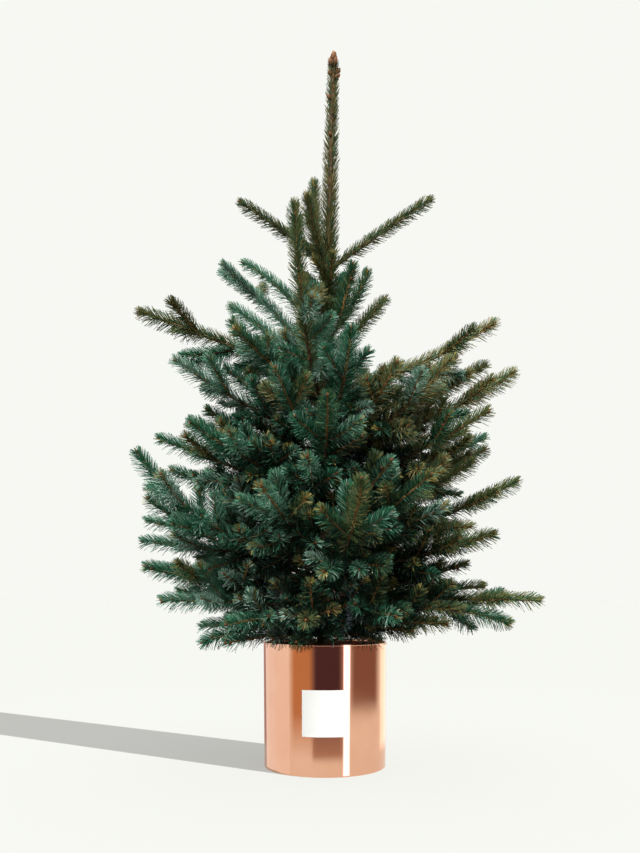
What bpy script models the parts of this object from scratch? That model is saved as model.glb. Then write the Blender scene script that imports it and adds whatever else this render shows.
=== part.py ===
"""A young blue spruce in a round copper planter, as one closed mesh for each piece.

Run with: blender --background --python part.py
Units are metres and Z is up. The origin is the middle of the planter's flat underside.
The planter's label faces -Y.

The tree is built as it grows. A tapering trunk stands on the soil and ends in the leader
and its bud. Whorls of boughs leave it, one whorl for each year, and each bough carries a
mass of needle shoots. A mass is one stem with side shoots at its yearly joints. Every
shoot is a slim core that rings of needle blades stand out of.
"""

import bisect
import math
import random
from typing import NamedTuple

import bmesh
import bpy
import numpy as np
from mathutils import Quaternion, Vector

# Planter
POT_HEIGHT = 0.198
POT_BASE_RADIUS = 0.0982
POT_TOP_RADIUS = 0.0996
POT_WALL = 0.0015
POT_FLOOR = 0.0020
HEM_HEIGHT = 0.0022
HEM_PROUD = 0.0006
FOOT_BEVEL = 0.0008
ROUND_STEPS = 32
SHARP_ANGLE = math.radians(35)

# Soil
SOIL_MIDDLE = 0.183
SOIL_EDGE = 0.177
SOIL_FLAT_RADIUS = 0.022
SOIL_SLOPE_RADIUS = 0.062
SOIL_SLOPE_RISE = 0.002

# Label
LABEL_WIDTH = 0.0666
LABEL_BOTTOM = 0.0612
LABEL_TOP = 0.1317
LABEL_THICKNESS = 0.0005
LABEL_TURN = math.radians(-1.5)
LABEL_STEPS = 6

# Clearance between pieces that touch on the real plant
GAP = 0.0003

# Trunk
TRUNK_SIDES = 10
TREE_TOP = 1.159
TRUNK_FOOT_RADIUS = 0.0108
TRUNK_TOP_RADIUS = 0.0026
TAPER_POWER = 0.80
TRUNK_LEAN = 0.0138
LEAN_POWER = 1.35
LEADER_BASE = 0.820
LEADER_END = 1.132
FLARE_HEIGHT = 0.045
FLARE_EXTRA = 0.0050
FLARE_RINGS = (0.0, 0.25, 0.55, 1.0)
TRUNK_RINGS = (0.36, 0.50, 0.65, LEADER_BASE, LEADER_END)
BUD_LENGTH = 0.022
BUD_RADIUS = 0.0046
BUD_PROFILE = ((0.0, 0.62), (0.22, 0.95), (0.50, 1.0), (0.78, 0.66), (1.0, 0.16))

# Boughs and shoots
LIMB_SIDES = 6
LIMB_ROOT_RADIUS = 0.0042
LIMB_END_RADIUS = 0.0027
LIMB_STEPS = 4
SHOOT_RADIUS = 0.0030
SHOOT_TIP_RADIUS = 0.0024
CORE_SIDES = 3
RING_STEP = 0.0335
INNER_REACH = 0.0250
OUTER_REACH = 0.0175
SIDE_REACH = 0.0225
SWEEP_SHARE = 0.82
TIP_REACH = 0.0180
TUFT_REACH = 0.0100
BUD_REACH = 0.0050
ROOT_LENGTH = 0.0110
ROOT_BARE = 0.0099
BARE_SHARE = 0.16
SHORT_BARE = 0.016
CURVE_STEPS = 120

# Leader needles
LEADER_SIDES = 6
LEADER_CORE = 0.0014
LEADER_REACH = 0.0060
LEADER_SWEEP = 0.0160
LEADER_STEP = 0.0200

# Rule for side shoots
SIDE_ANGLE = 47.0
SIDE_TURNS = ((4.0, 176.0), (-55.0, 235.0), (62.0, 118.0))
SIDE_SHARES = (0.74, 0.95, 0.95)
YEAR_SPACING = 0.066
LAST_YEAR_SHARE = 0.40
LAST_YEAR_SHORTEST = 0.070
LAST_YEAR_LONGEST = 0.108
UPTURN = 0.12
ROLL_SCATTER = 14.0
ANGLE_SCATTER = 5.0
SHARE_SCATTER = (0.88, 1.08)
LENGTH_TRIES = (1.0, 0.8, 0.62)
JOINT_CLEARANCE = 0.012
JOINT_STEP = 0.004
SEED = 1160

# Room that a mass keeps to its neighbours
AXIS_SPACING = 0.0280
LIMB_SPACING = 0.0150
BLADE_GAP = 0.0012
BLADE_TRIES = (1.0, 0.85, 0.7, 0.55, 0.4)
SLEEVE_MARGIN = 0.0020
TRUNK_BEADS = 90
BEAD_STEP = 0.0040


class Bough(NamedTuple):
    """One bough: where it leaves the trunk and where its tip is."""

    name: str
    height: float  # of its foot on the trunk
    bearing: float  # degrees, 0 to the right and 90 to the back
    reach: float  # level distance of its tip from the trunk
    tip: float  # height of its tip
    lift: float  # 0 straight, more runs out level first and then turns up
    limb: bool  # has a bare limb of its own
    years: int  # yearly joints that carry side shoots


BOUGHS = (
    Bough("top_left", 0.812, 180, 0.153, 0.918, -0.04, False, 0),
    Bough("top_right", 0.810, 7, 0.176, 0.931, 0.03, False, 0),
    Bough("top_front", 0.800, 237, 0.066, 0.907, 0.22, False, 0),
    Bough("top_back", 0.808, 104, 0.078, 0.990, 0.25, False, 0),
    Bough("high_right", 0.700, 2, 0.066, 0.810, 0.15, False, 0),
    Bough("high_front", 0.685, 301, 0.076, 0.795, 0.15, False, 0),
    Bough("high_left", 0.680, 172, 0.142, 0.828, -0.06, False, 0),
    Bough("high_right_back", 0.655, 30, 0.112, 0.775, 0.08, False, 0),
    Bough("high_back", 0.690, 98, 0.123, 0.815, 0.10, False, 0),
    Bough("upper_left_back", 0.625, 150, 0.207, 0.852, -0.12, False, 1),
    Bough("upper_front_left", 0.575, 252, 0.158, 0.848, 0.30, False, 0),
    Bough("upper_left", 0.605, 184, 0.311, 0.730, 0.00, True, 3),
    Bough("upper_left_front", 0.590, 217, 0.182, 0.677, 0.08, False, 1),
    Bough("upper_right", 0.600, 1, 0.278, 0.727, 0.02, True, 2),
    Bough("upper_front", 0.530, 283, 0.155, 0.668, 0.25, False, 2),
    Bough("upper_back_right", 0.595, 52, 0.204, 0.719, 0.10, False, 2),
    Bough("upper_back_left", 0.580, 121, 0.220, 0.726, 0.10, False, 2),
    Bough("middle_left", 0.525, 194, 0.251, 0.645, 0.08, False, 2),
    Bough("middle_right_front", 0.490, 333, 0.215, 0.636, 0.10, True, 2),
    Bough("middle_right", 0.505, 0, 0.304, 0.639, 0.10, True, 3),
    Bough("middle_front", 0.440, 270, 0.221, 0.551, 0.12, False, 2),
    Bough("middle_left_front", 0.440, 216, 0.242, 0.532, 0.10, False, 2),
    Bough("middle_left_low", 0.430, 181, 0.278, 0.530, 0.10, False, 3),
    Bough("middle_right_low", 0.425, 12, 0.283, 0.527, 0.12, False, 3),
    Bough("middle_right_between", 0.455, 343, 0.276, 0.574, 0.10, False, 2),
    Bough("middle_back_right", 0.470, 62, 0.259, 0.580, 0.10, False, 3),
    Bough("middle_back_left", 0.465, 120, 0.263, 0.580, 0.10, False, 3),
    Bough("lower_left_front", 0.325, 203, 0.310, 0.490, 0.15, False, 3),
    Bough("lower_left", 0.345, 178, 0.303, 0.399, 0.05, False, 3),
    Bough("lower_left_low", 0.298, 189, 0.298, 0.362, 0.02, False, 2),
    Bough("lower_front_left", 0.345, 249, 0.254, 0.425, 0.12, False, 2),
    Bough("lower_front_right", 0.360, 309, 0.238, 0.448, 0.12, False, 2),
    Bough("lower_front", 0.305, 280, 0.263, 0.434, 0.32, False, 2),
    Bough("lower_right", 0.330, 0, 0.316, 0.464, 0.12, True, 3),
    Bough("lower_right_low", 0.298, 343, 0.288, 0.362, 0.05, False, 2),
    Bough("lower_back_left", 0.350, 134, 0.278, 0.421, 0.08, False, 3),
    Bough("lower_back_right", 0.340, 45, 0.275, 0.421, 0.08, False, 3),
    Bough("lower_back", 0.370, 92, 0.280, 0.464, 0.10, False, 3),
    Bough("bottom_left_back", 0.265, 165, 0.311, 0.327, 0.05, False, 3),
    Bough("bottom_left", 0.255, 197, 0.271, 0.262, -0.05, False, 3),
    Bough("skirt_left", 0.236, 204, 0.208, 0.206, -0.15, False, 1),
    Bough("bottom_front_left", 0.262, 229, 0.225, 0.232, -0.10, False, 2),
    Bough("bottom_front", 0.255, 262, 0.215, 0.240, -0.10, False, 2),
    Bough("bottom_front_right", 0.262, 296, 0.225, 0.245, -0.05, False, 2),
    Bough("bottom_right", 0.265, 353, 0.347, 0.267, -0.10, True, 3),
    Bough("skirt_right", 0.240, 326, 0.222, 0.232, -0.15, False, 1),
    Bough("bottom_back_right", 0.265, 40, 0.265, 0.313, 0.00, False, 3),
    Bough("bottom_back", 0.262, 116, 0.255, 0.286, 0.00, False, 3),
    Bough("skirt_back", 0.240, 76, 0.222, 0.238, -0.10, False, 2),
)


class Shoot(NamedTuple):
    """One needle shoot of a mass, as evenly spaced points along its middle line."""

    points: list
    root_radius: float
    tip_radius: float
    root_reach: float  # how far the blades stand out near its root
    tip_reach: float  # and near its tip
    bare: float  # length at its root without needles


# Curves

def trunk_axis(height):
    """The middle of the trunk at a height: it leans a little more towards the tip."""
    share = max(0.0, (height - SOIL_MIDDLE) / (TREE_TOP - SOIL_MIDDLE))
    return Vector((TRUNK_LEAN * share**LEAN_POWER, 0.0, height))


def trunk_radius(height):
    """Even taper from the foot to the leader's end, with a flare at the root."""
    share = min(1.0, (height - SOIL_MIDDLE) / (LEADER_END - SOIL_MIDDLE))
    taper = TRUNK_FOOT_RADIUS + (TRUNK_TOP_RADIUS - TRUNK_FOOT_RADIUS) * share**TAPER_POWER
    flare = FLARE_EXTRA * max(0.0, 1.0 - (height - SOIL_MIDDLE) / FLARE_HEIGHT) ** 2
    return taper + flare


def outward(bough):
    """The level direction in which a bough leaves the trunk."""
    turn = math.radians(bough.bearing)
    return Vector((math.cos(turn), math.sin(turn), 0.0))


def bough_curve(bough):
    """A function from 0..1 to the points of a bough's middle line."""
    away = outward(bough)
    centre = trunk_axis(bough.height)
    foot = centre + away * (trunk_radius(bough.height) + GAP)
    tip = centre + away * bough.reach
    tip.z = bough.tip
    level = (tip - foot).dot(away)
    bend = foot + away * level * (0.5 + bough.lift)
    bend.z = foot.z + (tip.z - foot.z) * (0.5 - bough.lift)

    def at(share):
        return foot * (1 - share) ** 2 + bend * 2 * share * (1 - share) + tip * share**2

    return at


def measured(curve):
    """Closely spaced points of a curve and the distance along it to each."""
    fine = [curve(i / CURVE_STEPS) for i in range(CURVE_STEPS + 1)]
    runs = [0.0]
    for before, after in zip(fine, fine[1:]):
        runs.append(runs[-1] + (after - before).length)
    return fine, runs


def curve_length(curve):
    """The length of a curve."""
    return measured(curve)[1][-1]


def even_points(curve, start, end, step):
    """Points at even spacing of about step along a curve, from start to end metres."""
    fine, runs = measured(curve)
    end = min(end, runs[-1])
    count = max(2, round((end - start) / step))
    points = []
    for i in range(count + 1):
        goal = start + (end - start) * i / count
        k = min(CURVE_STEPS - 1, max(0, bisect.bisect_right(runs, goal) - 1))
        part = (goal - runs[k]) / (runs[k + 1] - runs[k])
        points.append(fine[k].lerp(fine[k + 1], part))
    return points


def side_curve(start, direction, length):
    """A side shoot sets off in a direction and turns up slightly along its length."""
    lift = Vector((0.0, 0.0, length * UPTURN))

    def at(share):
        return start + direction * length * share + lift * share**2

    return at


# Room

def beads(points):
    """Points close together along a middle line, for measuring distances to it."""
    found = []
    for before, after in zip(points, points[1:]):
        count = max(1, math.ceil((after - before).length / BEAD_STEP))
        found.extend(before.lerp(after, i / count) for i in range(count))
    found.append(points[-1])
    return np.array([tuple(point) for point in found])


def nearest(points, others):
    """The least distance from any of the points to any of the others."""
    if len(others) == 0:
        return math.inf
    steps = points[:, None, :] - others[None, :, :]
    return float(np.sqrt((steps**2).sum(axis=2)).min())


class Room:
    """The middle lines of all limbs and shoots, which keep clear of each other."""

    def __init__(self):
        self.limbs = np.zeros((0, 3))
        self.limb_radii = np.zeros(0)
        self.lines = {}

    def add_limb(self, points, radii):
        """Adds a limb's points and its radius at each."""
        self.limbs = np.vstack([self.limbs, np.array([tuple(point) for point in points])])
        self.limb_radii = np.append(self.limb_radii, radii)

    def add_line(self, name, points):
        """Adds a shoot's line to the mass of that name."""
        self.lines.setdefault(name, []).append(beads(points))

    def other_masses(self, name):
        """The lines of every mass but one."""
        rest = [line for key, lines in self.lines.items() if key != name for line in lines]
        return np.vstack(rest) if rest else np.zeros((0, 3))

    def limb_distance(self, points):
        """The least distance from the points to the surface of any limb."""
        steps = points[:, None, :] - self.limbs[None, :, :]
        return float((np.sqrt((steps**2).sum(axis=2)) - self.limb_radii).min())

    def is_free(self, name, points):
        """Whether a new side shoot is far enough from limbs, masses and its own mass."""
        line = beads(points)
        if nearest(line, self.other_masses(name)) < AXIS_SPACING:
            return False
        if self.limb_distance(line[3:]) < LIMB_SPACING:
            return False
        return nearest(line[-3:], np.vstack(self.lines[name])) > AXIS_SPACING

    def cell(self, name, index):
        """A shoot's own line, and the lines of all other shoots less the one it grows from."""
        own = self.lines[name]
        rest = [self.other_masses(name)]
        rest.extend(line[2:] if other else line for other, line in enumerate(own) if other != index)
        return own[index], np.vstack(rest)

    def blade_reach(self, cell, root, blade):
        """How far a blade reaches before it leaves the space nearest its own shoot."""
        own, rest = cell
        for share in BLADE_TRIES:
            tip = np.array([tuple(root + blade * share)])
            if self.limb_distance(tip) < BLADE_GAP:
                continue
            if nearest(tip, rest) - nearest(tip, own) > 2 * BLADE_GAP:
                return share
        return 0.0


# Meshes

def new_object(name, mesh, material):
    """Links a mesh with its material to the scene under the piece's name."""
    mesh.materials.clear()
    mesh.materials.append(material)
    piece = bpy.data.objects.new(name, mesh)
    bpy.context.collection.objects.link(piece)
    return piece


def to_mesh(bm, name):
    """Turns a bmesh into a mesh with its faces pointing out."""
    bmesh.ops.recalc_face_normals(bm, faces=bm.faces)
    mesh = bpy.data.meshes.new(name)
    bm.to_mesh(mesh)
    bm.free()
    return mesh


def lathe(profile):
    """Turns a profile of (radius, height) pairs, from axis to axis, into a solid."""
    bm = bmesh.new()
    points = [bm.verts.new((radius, 0.0, height)) for radius, height in profile]
    edges = [bm.edges.new(pair) for pair in zip(points, points[1:])]
    bmesh.ops.spin(bm, geom=points + edges, axis=(0, 0, 1), cent=(0, 0, 0),
                   steps=ROUND_STEPS, angle=math.tau, use_merge=True)
    bmesh.ops.remove_doubles(bm, verts=bm.verts, dist=1e-6)
    return bm


def frames_along(points):
    """Tangent and side direction at each point, turned as little as possible."""
    tangents = []
    for i in range(len(points)):
        before = points[max(0, i - 1)]
        after = points[min(len(points) - 1, i + 1)]
        tangents.append((after - before).normalized())
    side = tangents[0].cross(Vector((0, 0, 1)))
    if side.length < 1e-3:
        side = Vector((1, 0, 0))
    side.normalize()
    sides = [side]
    for before, after in zip(tangents, tangents[1:]):
        side = before.rotation_difference(after) @ sides[-1]
        sides.append(side)
    return tangents, sides


def ring_directions(tangent, side, count, phase=0.0):
    """Unit directions round a tangent."""
    return [Quaternion(tangent, phase + math.tau * j / count) @ side for j in range(count)]


def join_rings(bm, rings):
    """Skins rings of equal count with squares."""
    for low, high in zip(rings, rings[1:]):
        for j in range(len(low)):
            k = (j + 1) % len(low)
            bm.faces.new((low[j], low[k], high[k], high[j]))


def zigzag_faces(rings):
    """Triangles between rings that stand turned by half a side in turn.

    Each comes with the number of its interval and of its corner in the ring.
    """
    for i, (low, high) in enumerate(zip(rings, rings[1:])):
        for j in range(len(low)):
            k = (j + 1) % len(low)
            if i % 2 == 0:
                yield i, j, (low[j], low[k], high[j])
                yield i, j, (low[k], high[k], high[j])
            else:
                yield i, j, (low[j], high[k], high[j])
                yield i, j, (low[j], low[k], high[k])


def add_blade(bm, corners, tip):
    """Stands a three-sided needle blade on a triangle of the core."""
    point = bm.verts.new(tip)
    for a, b in zip(corners, corners[1:] + corners[:1]):
        bm.faces.new((a, b, point))


def limb_radii():
    """The radius of a limb at each of its rings."""
    thinning = (LIMB_END_RADIUS - LIMB_ROOT_RADIUS) / LIMB_STEPS
    return [LIMB_ROOT_RADIUS + thinning * i for i in range(LIMB_STEPS + 1)]


def square_to(side, tangent):
    """The part of a side direction that is square to a tangent."""
    return (side - tangent * side.dot(tangent)).normalized()


def limb_mesh(name, points):
    """A tapering limb. Its foot is upright where it stands against the trunk."""
    bm = bmesh.new()
    tangents, across = frames_along(points)
    tangents[0] = Vector((tangents[0].x, tangents[0].y, 0.0)).normalized()
    rings = []
    for point, tangent, side, radius in zip(points, tangents, across, limb_radii()):
        turns = ring_directions(tangent, square_to(side, tangent), LIMB_SIDES)
        rings.append([bm.verts.new(point + out * radius) for out in turns])
    join_rings(bm, rings)
    bm.faces.new(rings[0])
    bm.faces.new(rings[-1])
    return to_mesh(bm, name)


def shoot_mesh(name, shoot, cell, room, upright_foot):
    """A slim core whose every facet carries a needle blade that leans to the tip."""
    bm = bmesh.new()
    tangents, sides = frames_along(shoot.points)
    if upright_foot:
        tangents[0] = Vector((tangents[0].x, tangents[0].y, 0.0)).normalized()
    last = len(shoot.points) - 1
    runs = [0.0]
    rings = []
    for i, (point, tangent, side) in enumerate(zip(shoot.points, tangents, sides)):
        if i:
            runs.append(runs[-1] + (point - shoot.points[i - 1]).length)
        core = shoot.root_radius + (shoot.tip_radius - shoot.root_radius) * i / last
        half_turn = math.pi / CORE_SIDES * (i % 2)
        turns = ring_directions(tangent, square_to(side, tangent), CORE_SIDES, half_turn)
        rings.append([bm.verts.new(point + out * core) for out in turns])
    bm.faces.new(rings[0])
    for i, _, corners in zigzag_faces(rings):
        middle = sum((corner.co for corner in corners), Vector()) / 3
        along = tangents[min(i + 1, last)]
        out = square_to(middle - shoot.points[i], along)
        reach = shoot.root_reach + (shoot.tip_reach - shoot.root_reach) * (i + 0.5) / last
        blade = (out + along * SWEEP_SHARE) * reach
        share = room.blade_reach(cell, middle, blade) if runs[i] >= shoot.bare else 0.0
        if share > 0.0:
            add_blade(bm, corners, middle + blade * share)
        else:
            bm.faces.new(corners)
    end = shoot.points[-1]
    bud = bm.verts.new(end + tangents[-1] * BUD_REACH)
    for a, b in zip(rings[-1], rings[-1][1:] + rings[-1][:1]):
        out = ((a.co + b.co) / 2 - end).normalized()
        add_blade(bm, (a, b, bud), end + out * TUFT_REACH + tangents[-1] * TIP_REACH)
    return to_mesh(bm, name)


# Growth

def yearly_joints(bough, length):
    """Distances along a bough of the joints where side shoots grow, from the tip inwards."""
    last_year = min(LAST_YEAR_LONGEST, max(LAST_YEAR_SHORTEST, length * LAST_YEAR_SHARE))
    return last_year, [length - last_year - YEAR_SPACING * i for i in range(bough.years)]


def side_shoots(bough, joint, rng):
    """The side shoots that a joint may carry: start, direction and length of each."""
    curve = bough_curve(bough)
    length = curve_length(curve)
    last_year, joints = yearly_joints(bough, length)
    run = joints[joint]
    if run < bare_length(bough, length) + JOINT_CLEARANCE:
        return []
    before, start, after = even_points(curve, run - JOINT_STEP, run + JOINT_STEP, JOINT_STEP)
    tangent = (after - before).normalized()
    level = tangent.cross(Vector((0, 0, 1))).normalized()
    above = level.cross(tangent)
    found = []
    for turn in SIDE_TURNS[joint]:
        roll = math.radians(turn + rng.uniform(-ROLL_SCATTER, ROLL_SCATTER))
        spread = math.radians(SIDE_ANGLE + rng.uniform(-ANGLE_SCATTER, ANGLE_SCATTER))
        across = level * math.cos(roll) + above * math.sin(roll)
        direction = tangent * math.cos(spread) + across * math.sin(spread)
        share = SIDE_SHARES[joint] * rng.uniform(*SHARE_SCATTER)
        found.append((start, direction, last_year * share))
    return found


def bare_length(bough, length):
    """How much of a bough has no needles, next to the trunk."""
    return SHORT_BARE if bough.years == 0 else max(SHORT_BARE, length * BARE_SHARE)


def grow(room):
    """Places the stems of all masses, then their side shoots wherever there is room."""
    masses = {}
    limbs = {}
    for bough in BOUGHS:
        curve = bough_curve(bough)
        length = curve_length(curve)
        bare = bare_length(bough, length)
        start = 0.0
        if bough.limb:
            limbs[bough.name] = even_points(curve, 0.0, bare, bare / LIMB_STEPS)
            room.add_limb(limbs[bough.name], limb_radii())
            start = bare + GAP
        points = even_points(curve, start, length - TIP_REACH, RING_STEP)
        root = LIMB_END_RADIUS if bough.limb else 0.5 * (LIMB_ROOT_RADIUS + LIMB_END_RADIUS)
        if bough.years == 0:
            root = SHOOT_RADIUS
        inner = INNER_REACH if bough.years else SIDE_REACH
        needleless = 0.0 if bough.limb else bare
        masses[bough.name] = [Shoot(points, root, SHOOT_TIP_RADIUS, inner, OUTER_REACH, needleless)]
        room.add_line(bough.name, points)
    for joint in range(len(SIDE_TURNS)):
        for bough in BOUGHS:
            if joint >= bough.years:
                continue
            rng = random.Random(f"{SEED} {joint} {bough.name}")
            for start, direction, length in side_shoots(bough, joint, rng):
                add_side_shoot(room, masses, bough.name, start, direction, length)
    return limbs, masses


def add_side_shoot(room, masses, name, start, direction, length):
    """Adds a side shoot at its full length or shorter, or leaves it out if there is no room."""
    for share in LENGTH_TRIES:
        curve = side_curve(start, direction, length * share - TIP_REACH)
        points = [start] + even_points(curve, ROOT_LENGTH, math.inf, RING_STEP)
        if room.is_free(name, points):
            shoot = Shoot(points, SHOOT_RADIUS, SHOOT_TIP_RADIUS, SIDE_REACH, OUTER_REACH, ROOT_BARE)
            masses[name].append(shoot)
            room.add_line(name, points)
            return


# Pieces

def material(name, colour, roughness, metallic=0.0):
    """A plain Principled material."""
    made = bpy.data.materials.new(name)
    made.use_nodes = True
    made.diffuse_color = (*colour, 1.0)
    shader = made.node_tree.nodes["Principled BSDF"]
    shader.inputs["Base Color"].default_value = (*colour, 1.0)
    shader.inputs["Roughness"].default_value = roughness
    shader.inputs["Metallic"].default_value = metallic
    return made


def wall_radius(height):
    """The planter's outer radius at a height."""
    return POT_BASE_RADIUS + (POT_TOP_RADIUS - POT_BASE_RADIUS) * height / POT_HEIGHT


def make_planter():
    """The thin copper cylinder with its floor and the hem round its rim."""
    hem = POT_TOP_RADIUS + HEM_PROUD
    inner_top = POT_TOP_RADIUS - POT_WALL
    inner_foot = wall_radius(POT_FLOOR) - POT_WALL
    profile = (
        (0.0, 0.0),
        (POT_BASE_RADIUS - FOOT_BEVEL, 0.0),
        (wall_radius(FOOT_BEVEL), FOOT_BEVEL),
        (wall_radius(POT_HEIGHT - HEM_HEIGHT), POT_HEIGHT - HEM_HEIGHT),
        (hem, POT_HEIGHT - 0.7 * HEM_HEIGHT),
        (hem, POT_HEIGHT - 0.25 * HEM_HEIGHT),
        (POT_TOP_RADIUS - 0.3 * POT_WALL, POT_HEIGHT),
        (inner_top, POT_HEIGHT - 0.1 * HEM_HEIGHT),
        (inner_foot, POT_FLOOR),
        (0.0, POT_FLOOR),
    )
    mesh = to_mesh(lathe(profile), "planter")
    piece = new_object("planter", mesh, material("polished_copper", (0.80, 0.42, 0.26), 0.18, 1.0))
    mesh.shade_smooth()
    mesh.set_sharp_from_angle(angle=SHARP_ANGLE)
    return piece


def make_soil():
    """The compost, which fills the planter and rises to a flat spot under the trunk."""
    top = wall_radius(SOIL_EDGE) - POT_WALL - GAP
    foot = wall_radius(POT_FLOOR) - POT_WALL - GAP
    profile = (
        (0.0, POT_FLOOR + GAP),
        (foot, POT_FLOOR + GAP),
        (top, SOIL_EDGE),
        (SOIL_SLOPE_RADIUS, SOIL_EDGE + SOIL_SLOPE_RISE),
        (SOIL_FLAT_RADIUS, SOIL_MIDDLE),
        (0.0, SOIL_MIDDLE),
    )
    mesh = to_mesh(lathe(profile), "potting_soil")
    return new_object("potting_soil", mesh, material("compost", (0.035, 0.022, 0.014), 0.95))


def make_label():
    """A thin square plate bent round the planter's front."""
    bm = bmesh.new()
    columns = []
    for i in range(LABEL_STEPS + 1):
        arc = (i / LABEL_STEPS - 0.5) * LABEL_WIDTH
        column = []
        for height in (LABEL_BOTTOM, LABEL_TOP):
            inner = wall_radius(height) + GAP
            turn = LABEL_TURN + arc / inner
            out = Vector((math.sin(turn), -math.cos(turn), 0.0))
            for radius in (inner, inner + LABEL_THICKNESS):
                column.append(bm.verts.new(out * radius + Vector((0, 0, height))))
        columns.append([column[0], column[1], column[3], column[2]])
    join_rings(bm, columns)
    bm.faces.new(columns[0])
    bm.faces.new(columns[-1])
    return new_object("label", to_mesh(bm, "label"), material("white_card", (0.90, 0.90, 0.89), 0.55))


def make_trunk(bark):
    """The whole trunk, from its flat cut at the soil to the bud on the leader."""
    foot = SOIL_MIDDLE + GAP
    heights = [foot + FLARE_HEIGHT * share for share in FLARE_RINGS] + list(TRUNK_RINGS)
    radii = [trunk_radius(height) for height in heights]
    bud_foot = TREE_TOP - BUD_LENGTH
    for share, width in BUD_PROFILE:
        heights.append(bud_foot + BUD_LENGTH * share)
        radii.append(BUD_RADIUS * width)
    bm = bmesh.new()
    rings = []
    turns = ring_directions(Vector((0, 0, 1)), Vector((1, 0, 0)), TRUNK_SIDES)
    for height, radius in zip(heights, radii):
        centre = trunk_axis(height)
        rings.append([bm.verts.new(centre + out * radius) for out in turns])
    join_rings(bm, rings)
    bm.faces.new(rings[0])
    bm.faces.new(rings[-1])
    return new_object("trunk", to_mesh(bm, "trunk"), bark)


def make_leader_needles(needles):
    """A sleeve of short needles pressed to the leader, open at both ends."""
    foot = LEADER_BASE + SLEEVE_MARGIN
    steps = round((LEADER_END - foot) / LEADER_STEP)
    low = trunk_axis(LEADER_BASE)
    high = trunk_axis(LEADER_END)
    tangent = (high - low).normalized()
    bm = bmesh.new()

    def ring(height, extra, half_turn):
        share = (height - LEADER_BASE) / (LEADER_END - LEADER_BASE)
        stem = trunk_radius(LEADER_BASE) * (1 - share) + trunk_radius(LEADER_END) * share
        radius = (stem + GAP) / math.cos(math.pi / LEADER_SIDES) + extra
        turns = ring_directions(Vector((0, 0, 1)), Vector((1, 0, 0)), LEADER_SIDES, half_turn)
        return [bm.verts.new(low.lerp(high, share) + out * radius) for out in turns]

    heights = [foot + (LEADER_END - foot) * i / steps for i in range(steps + 1)]
    outer = [ring(height, LEADER_CORE, math.pi / LEADER_SIDES * (i % 2))
             for i, height in enumerate(heights)]
    inner = [ring(LEADER_END, 0.0, math.pi / LEADER_SIDES * (steps % 2)), ring(foot, 0.0, 0.0)]
    for i, j, corners in zigzag_faces(outer):
        middle = sum((corner.co for corner in corners), Vector()) / 3
        if (i + j) % 2 or i == steps - 1:
            bm.faces.new(corners)
            continue
        out = Vector((middle.x - trunk_axis(middle.z).x, middle.y, 0.0)).normalized()
        add_blade(bm, corners, middle + out * LEADER_REACH + tangent * LEADER_SWEEP)
    join_rings(bm, [outer[-1], inner[0]])
    join_rings(bm, inner)
    join_rings(bm, [inner[1], outer[0]])
    return new_object("leader_needles", to_mesh(bm, "leader_needles"), needles)


def keep_largest_shell(mesh):
    """Drops loose scraps and the walls of sealed hollows, which leaves one solid."""
    bm = bmesh.new()
    bm.from_mesh(mesh)
    left = set(bm.verts)
    shells = []
    while left:
        found = {left.pop()}
        edge = list(found)
        while edge:
            vert = edge.pop()
            for near in (link.other_vert(vert) for link in vert.link_edges):
                if near in left:
                    left.discard(near)
                    found.add(near)
                    edge.append(near)
        shells.append(found)
    shells.sort(key=len)
    for shell in shells[:-1]:
        bmesh.ops.delete(bm, geom=list(shell), context="VERTS")
    bm.to_mesh(mesh)
    bm.free()


def make_mass(bough, shoots, room, needles):
    """Joins a mass's side shoots to its stem with one union."""
    meshes = []
    for i, shoot in enumerate(shoots):
        upright = i == 0 and not bough.limb
        meshes.append(shoot_mesh(f"shoot_{i}", shoot, room.cell(bough.name, i), room, upright))
    stem = new_object(f"foliage_{bough.name}", meshes[0], needles)
    if len(meshes) > 1:
        group = bpy.data.collections.new(f"side_shoots_{bough.name}")
        bpy.context.scene.collection.children.link(group)
        for mesh in meshes[1:]:
            group.objects.link(bpy.data.objects.new(mesh.name, mesh))
        union = stem.modifiers.new("union", "BOOLEAN")
        union.operation = "UNION"
        union.solver = "MANIFOLD"
        union.operand_type = "COLLECTION"
        union.collection = group
        bpy.context.view_layer.update()
        depsgraph = bpy.context.evaluated_depsgraph_get()
        joined = bpy.data.meshes.new_from_object(stem.evaluated_get(depsgraph))
        stem.modifiers.clear()
        stem.data = joined
        for piece in list(group.objects):
            bpy.data.objects.remove(piece)
        bpy.data.collections.remove(group)
    keep_largest_shell(stem.data)
    stem.data.materials.clear()
    stem.data.materials.append(needles)
    return stem


def main():
    """Clears the scene and makes every piece."""
    for piece in list(bpy.data.objects):
        bpy.data.objects.remove(piece)
    bark = material("spruce_bark", (0.17, 0.085, 0.045), 0.85)
    needles = material("blue_spruce_needles", (0.052, 0.118, 0.098), 0.60)
    make_planter()
    make_soil()
    make_label()
    make_trunk(bark)
    make_leader_needles(needles)
    room = Room()
    rise = (TREE_TOP - SOIL_MIDDLE) / TRUNK_BEADS
    heights = [SOIL_MIDDLE + rise * i for i in range(TRUNK_BEADS + 1)]
    sleeve = LEADER_REACH + SLEEVE_MARGIN
    radii = [trunk_radius(height) + (sleeve if height > LEADER_BASE else 0.0) for height in heights]
    room.add_limb([trunk_axis(height) for height in heights], radii)
    limbs, masses = grow(room)
    for name, points in limbs.items():
        new_object(f"bough_{name}", limb_mesh(f"bough_{name}", points), bark)
    for bough in BOUGHS:
        make_mass(bough, masses[bough.name], room, needles)


main()
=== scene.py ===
"""Looks for a young blue spruce in a round polished copper planter.

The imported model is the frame. The planter, its label and the compost are made again with
smooth, finished surfaces. The tree's solids are replaced by what grows in their place:
bark with relief on trunk and boughs, finer shoots by the same rule as the source's, buds
at their tips, and single needles. Units are metres, +Z is up and the label faces -Y.
"""

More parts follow.
